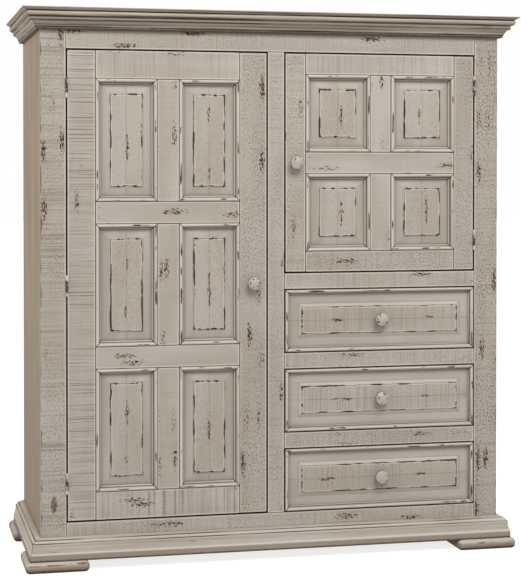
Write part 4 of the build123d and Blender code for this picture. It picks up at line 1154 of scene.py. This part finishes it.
# Raised fields, with the splits of each from the lowest field up and from left to right
PANEL_FIELD = Field(foot=-0.21735, head=-0.2225, face=-0.2250, shoulder=0.90, sway=0.0013, grain="z")
DRAWER_FIELD = Field(foot=-0.2205, head=-0.2248, face=-0.2255, shoulder=0.80, sway=0.0009, grain="x")
TALL_DOOR_SPLITS = [
    [Split(0.53, 0.83, 0.02), Split(0.12, 0.22, -0.01)], [Split(0.32, 0.58, -0.01)],
    [Split(0.64, 0.80, 0.02), Split(0.14, 0.28, -0.02)], [Split(0.21, 0.67, 0.00)],
    [Split(0.25, 0.60, 0.03)], [Split(0.69, 0.87, -0.02), Split(0.06, 0.22, 0.00)],
]
SHORT_DOOR_SPLITS = [
    [Split(0.17, 0.77, 0.10)], [Split(0.19, 0.85, 0.12)],
    [Split(0.15, 0.69, 0.09)], [Split(0.24, 0.67, -0.08)],
]
DRAWER_SPLITS = {
    "bottom_drawer": [Split(0.10, 0.22, -0.04), Split(0.72, 0.81, 0.02)],
    "middle_drawer": [Split(0.19, 0.34, -0.02), Split(0.755, 0.84, 0.01)],
    "top_drawer": [Split(0.18, 0.28, 0.00), Split(0.79, 0.85, 0.04)],
}
pebbled = Boards("z", 0.05, 0.55, 0.0)
rough_sawn = Boards("x", 0.33, 0.58, 0.1)
dress_fields("left_door_panels", pebbled, PANEL_FIELD, whitewashed_panels, TALL_DOOR_SPLITS, seed=30.0)
dress_fields("right_door_panels", pebbled, PANEL_FIELD, whitewashed_panels, SHORT_DOOR_SPLITS, seed=33.0)
for place, (drawer, splits) in enumerate(DRAWER_SPLITS.items()):
    front = drawer + "_front"
    dress_fields(front, rough_sawn, DRAWER_FIELD, whitewashed_drawers, [splits], seed=36.0 + place)

# Mouldings, feet, sides, top and knobs
strips = [Boards(None, 0.0, 0.0, 0.7)]
for place, node in enumerate(name for name in frame["nodes"] if name.endswith("_mouldings")):
    dress_boards(node, strips, whitewashed_strips, seed=40.0 + 3.0 * place, curved=True)
LENGTHS = {
    "crown_front": ("x", whitewashed_crown),
    "crown_left": ("y", crown_ends),
    "crown_right": ("y", crown_ends),
    "plinth_front": ("x", whitewashed_plinth),
    "plinth_left": ("y", plinth_ends),
    "plinth_right": ("y", plinth_ends),
}
for place, (node, (grain, material)) in enumerate(LENGTHS.items()):
    length = [Boards(grain, 0.0, 0.0, 0.7, through="z")]
    dress_boards(node, length, material, seed=60.0 + 2.0 * place, curved=True)
feet = [Boards("x", 0.0, 0.0, 0.8, through="z")]
for place, node in enumerate(("front_feet", "rear_feet")):
    dress_boards(node, feet, whitewashed_feet, seed=72.0 + place, curved=True)
side = [Boards("z", 0.0, 0.25, 0.5, through="x")]
for place, node in enumerate(("left_side_panel", "right_side_panel")):
    dress_boards(node, side, whitewashed_sides, seed=80.0 + place)
dress_boards("top_panel", [Boards("x", 0.0, 0.25, 0.3, through="z")], whitewashed_sides, seed=84.0)
for place, node in enumerate(name for name in frame["nodes"] if name.endswith("_knob")):
    dress_knob(node, seed=5.0 + 2.3 * place)

slotted_screws = screw_tree()


def leaf_screws(heights, x, facing_x):
    return [((x, y, height + rise), (facing_x, 0.0, 0.0)) for height in heights for rise, y in LEAF_SCREWS]


def strike_screws(node):
    low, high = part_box(node)
    middle = (low[2] + high[2]) / 2
    ends = (low[0] + PLATE_SCREW_INSET, high[0] - PLATE_SCREW_INSET)
    return [((x, high[1], middle), (0.0, 1.0, 0.0)) for x in ends]


def catch_screws(node):
    bm = joined_copy(node)
    spots = []
    for solid in solids_of(bm):
        low, high = corners(solid)
        for x in (low.x + PLATE_SCREW_INSET, high.x - PLATE_SCREW_INSET):
            spots.append(((x, (low.y + high.y) / 2, low.z), (0.0, 0.0, -1.0)))
    bm.free()
    return spots


case_leaves = leaf_screws(TALL_HINGES, -CASE_LEAF_X, 1.0) + leaf_screws(SHORT_HINGES, CASE_LEAF_X, -1.0)
drive_screws("case", case_leaves + catch_screws("door_catches"), seed=1)
tall_leaves = leaf_screws(TALL_HINGES, -DOOR_LEAF_X, -1.0)
drive_screws("left_door", tall_leaves + strike_screws("left_door_strike"), seed=2)
short_leaves = leaf_screws(SHORT_HINGES, DOOR_LEAF_X, 1.0)
drive_screws("right_door", short_leaves + strike_screws("right_door_strike"), seed=3)

# Bare pine and hardware, on the nodes' own meshes
PINE_GRAIN = {"partition": "z", "shelf_cleats": "y", "drawer_runners": "y"}
pines = {axis: raw_pine(f"raw_pine_{axis}", axis) for axis in AXES}
back_low, back_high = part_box("back_boards")
back_pine = raw_pine("raw_pine_back", "z", (back_low[0], (back_high[0] - back_low[0]) / BACK_BOARD_COUNT))
hardware = {
    "worn_hinge_metal": flaking_hinges,
    "plated_steel": plated_steel,
    "catch_plastic": moulded_plastic(),
}
for node, piece in frame["nodes"].items():
    pine = back_pine if node == "back_boards" else pines[PINE_GRAIN.get(node, "x")]
    material = pine if slot_of[node] == "raw_pine" else hardware.get(slot_of[node])
    if material:
        piece.data.materials.clear()
        piece.data.materials.append(material)


# Studio

def area_light(name, place, aim, size, power):
    lamp = bpy.data.lights.new(name, "AREA")
    lamp.size = size
    lamp.energy = power
    light = bpy.data.objects.new(name, lamp)
    light.location = place
    light.rotation_euler = (Vector(aim) - Vector(place)).to_track_quat("-Z", "Y").to_euler()
    bpy.context.scene.collection.objects.link(light)


def studio():
    scene = bpy.context.scene
    scene.view_settings.view_transform = "Standard"
    world = bpy.data.worlds.new("studio")
    world.use_nodes = True
    scene.world = world
    sky = Nodes(world.node_tree)
    light = sky.node("Background", {}, {"Color": SKY_TINT, "Strength": SKY_STRENGTH})
    white = sky.node("Background", {}, {"Color": WHITE, "Strength": 1.0})
    output = sky.tree.nodes.new("ShaderNodeOutputWorld")
    sky.feed(output.inputs["Surface"], sky.node("MixShader", {}, {0: sky.seen(), 1: light, 2: white}))
    for name, (place, size, power) in LAMPS.items():
        area_light(name, place, LAMP_AIM, size, power)

    floor_mesh = bpy.data.meshes.new("floor")
    turns = ((-1, -1), (1, -1), (1, 1), (-1, 1))
    floor_mesh.from_pydata([(x * FLOOR_REACH, y * FLOOR_REACH, 0.0) for x, y in turns], [], [(0, 1, 2, 3)])
    floor = bpy.data.objects.new("floor", floor_mesh)
    scene.collection.objects.link(floor)
    finish = Finish("pale_floor", FLOOR_GREY)
    glow = finish.mix(finish.seen(), BLACK, WHITE)
    pale = finish.made(FLOOR_ROUGHNESS, Emission_Color=glow, Emission_Strength=FLOOR_GLOW)
    floor_mesh.materials.append(pale)

    camera_data = bpy.data.cameras.new("camera")
    camera_data.lens = CAMERA_LENS
    camera_data.sensor_width = CAMERA_SENSOR
    camera_data.shift_y = CAMERA_SHIFT_Y
    camera = bpy.data.objects.new("camera", camera_data)
    camera.location = CAMERA_PLACE
    camera.rotation_euler = (math.pi / 2 + CAMERA_PITCH, 0.0, CAMERA_YAW)
    scene.collection.objects.link(camera)
    scene.camera = camera


studio()
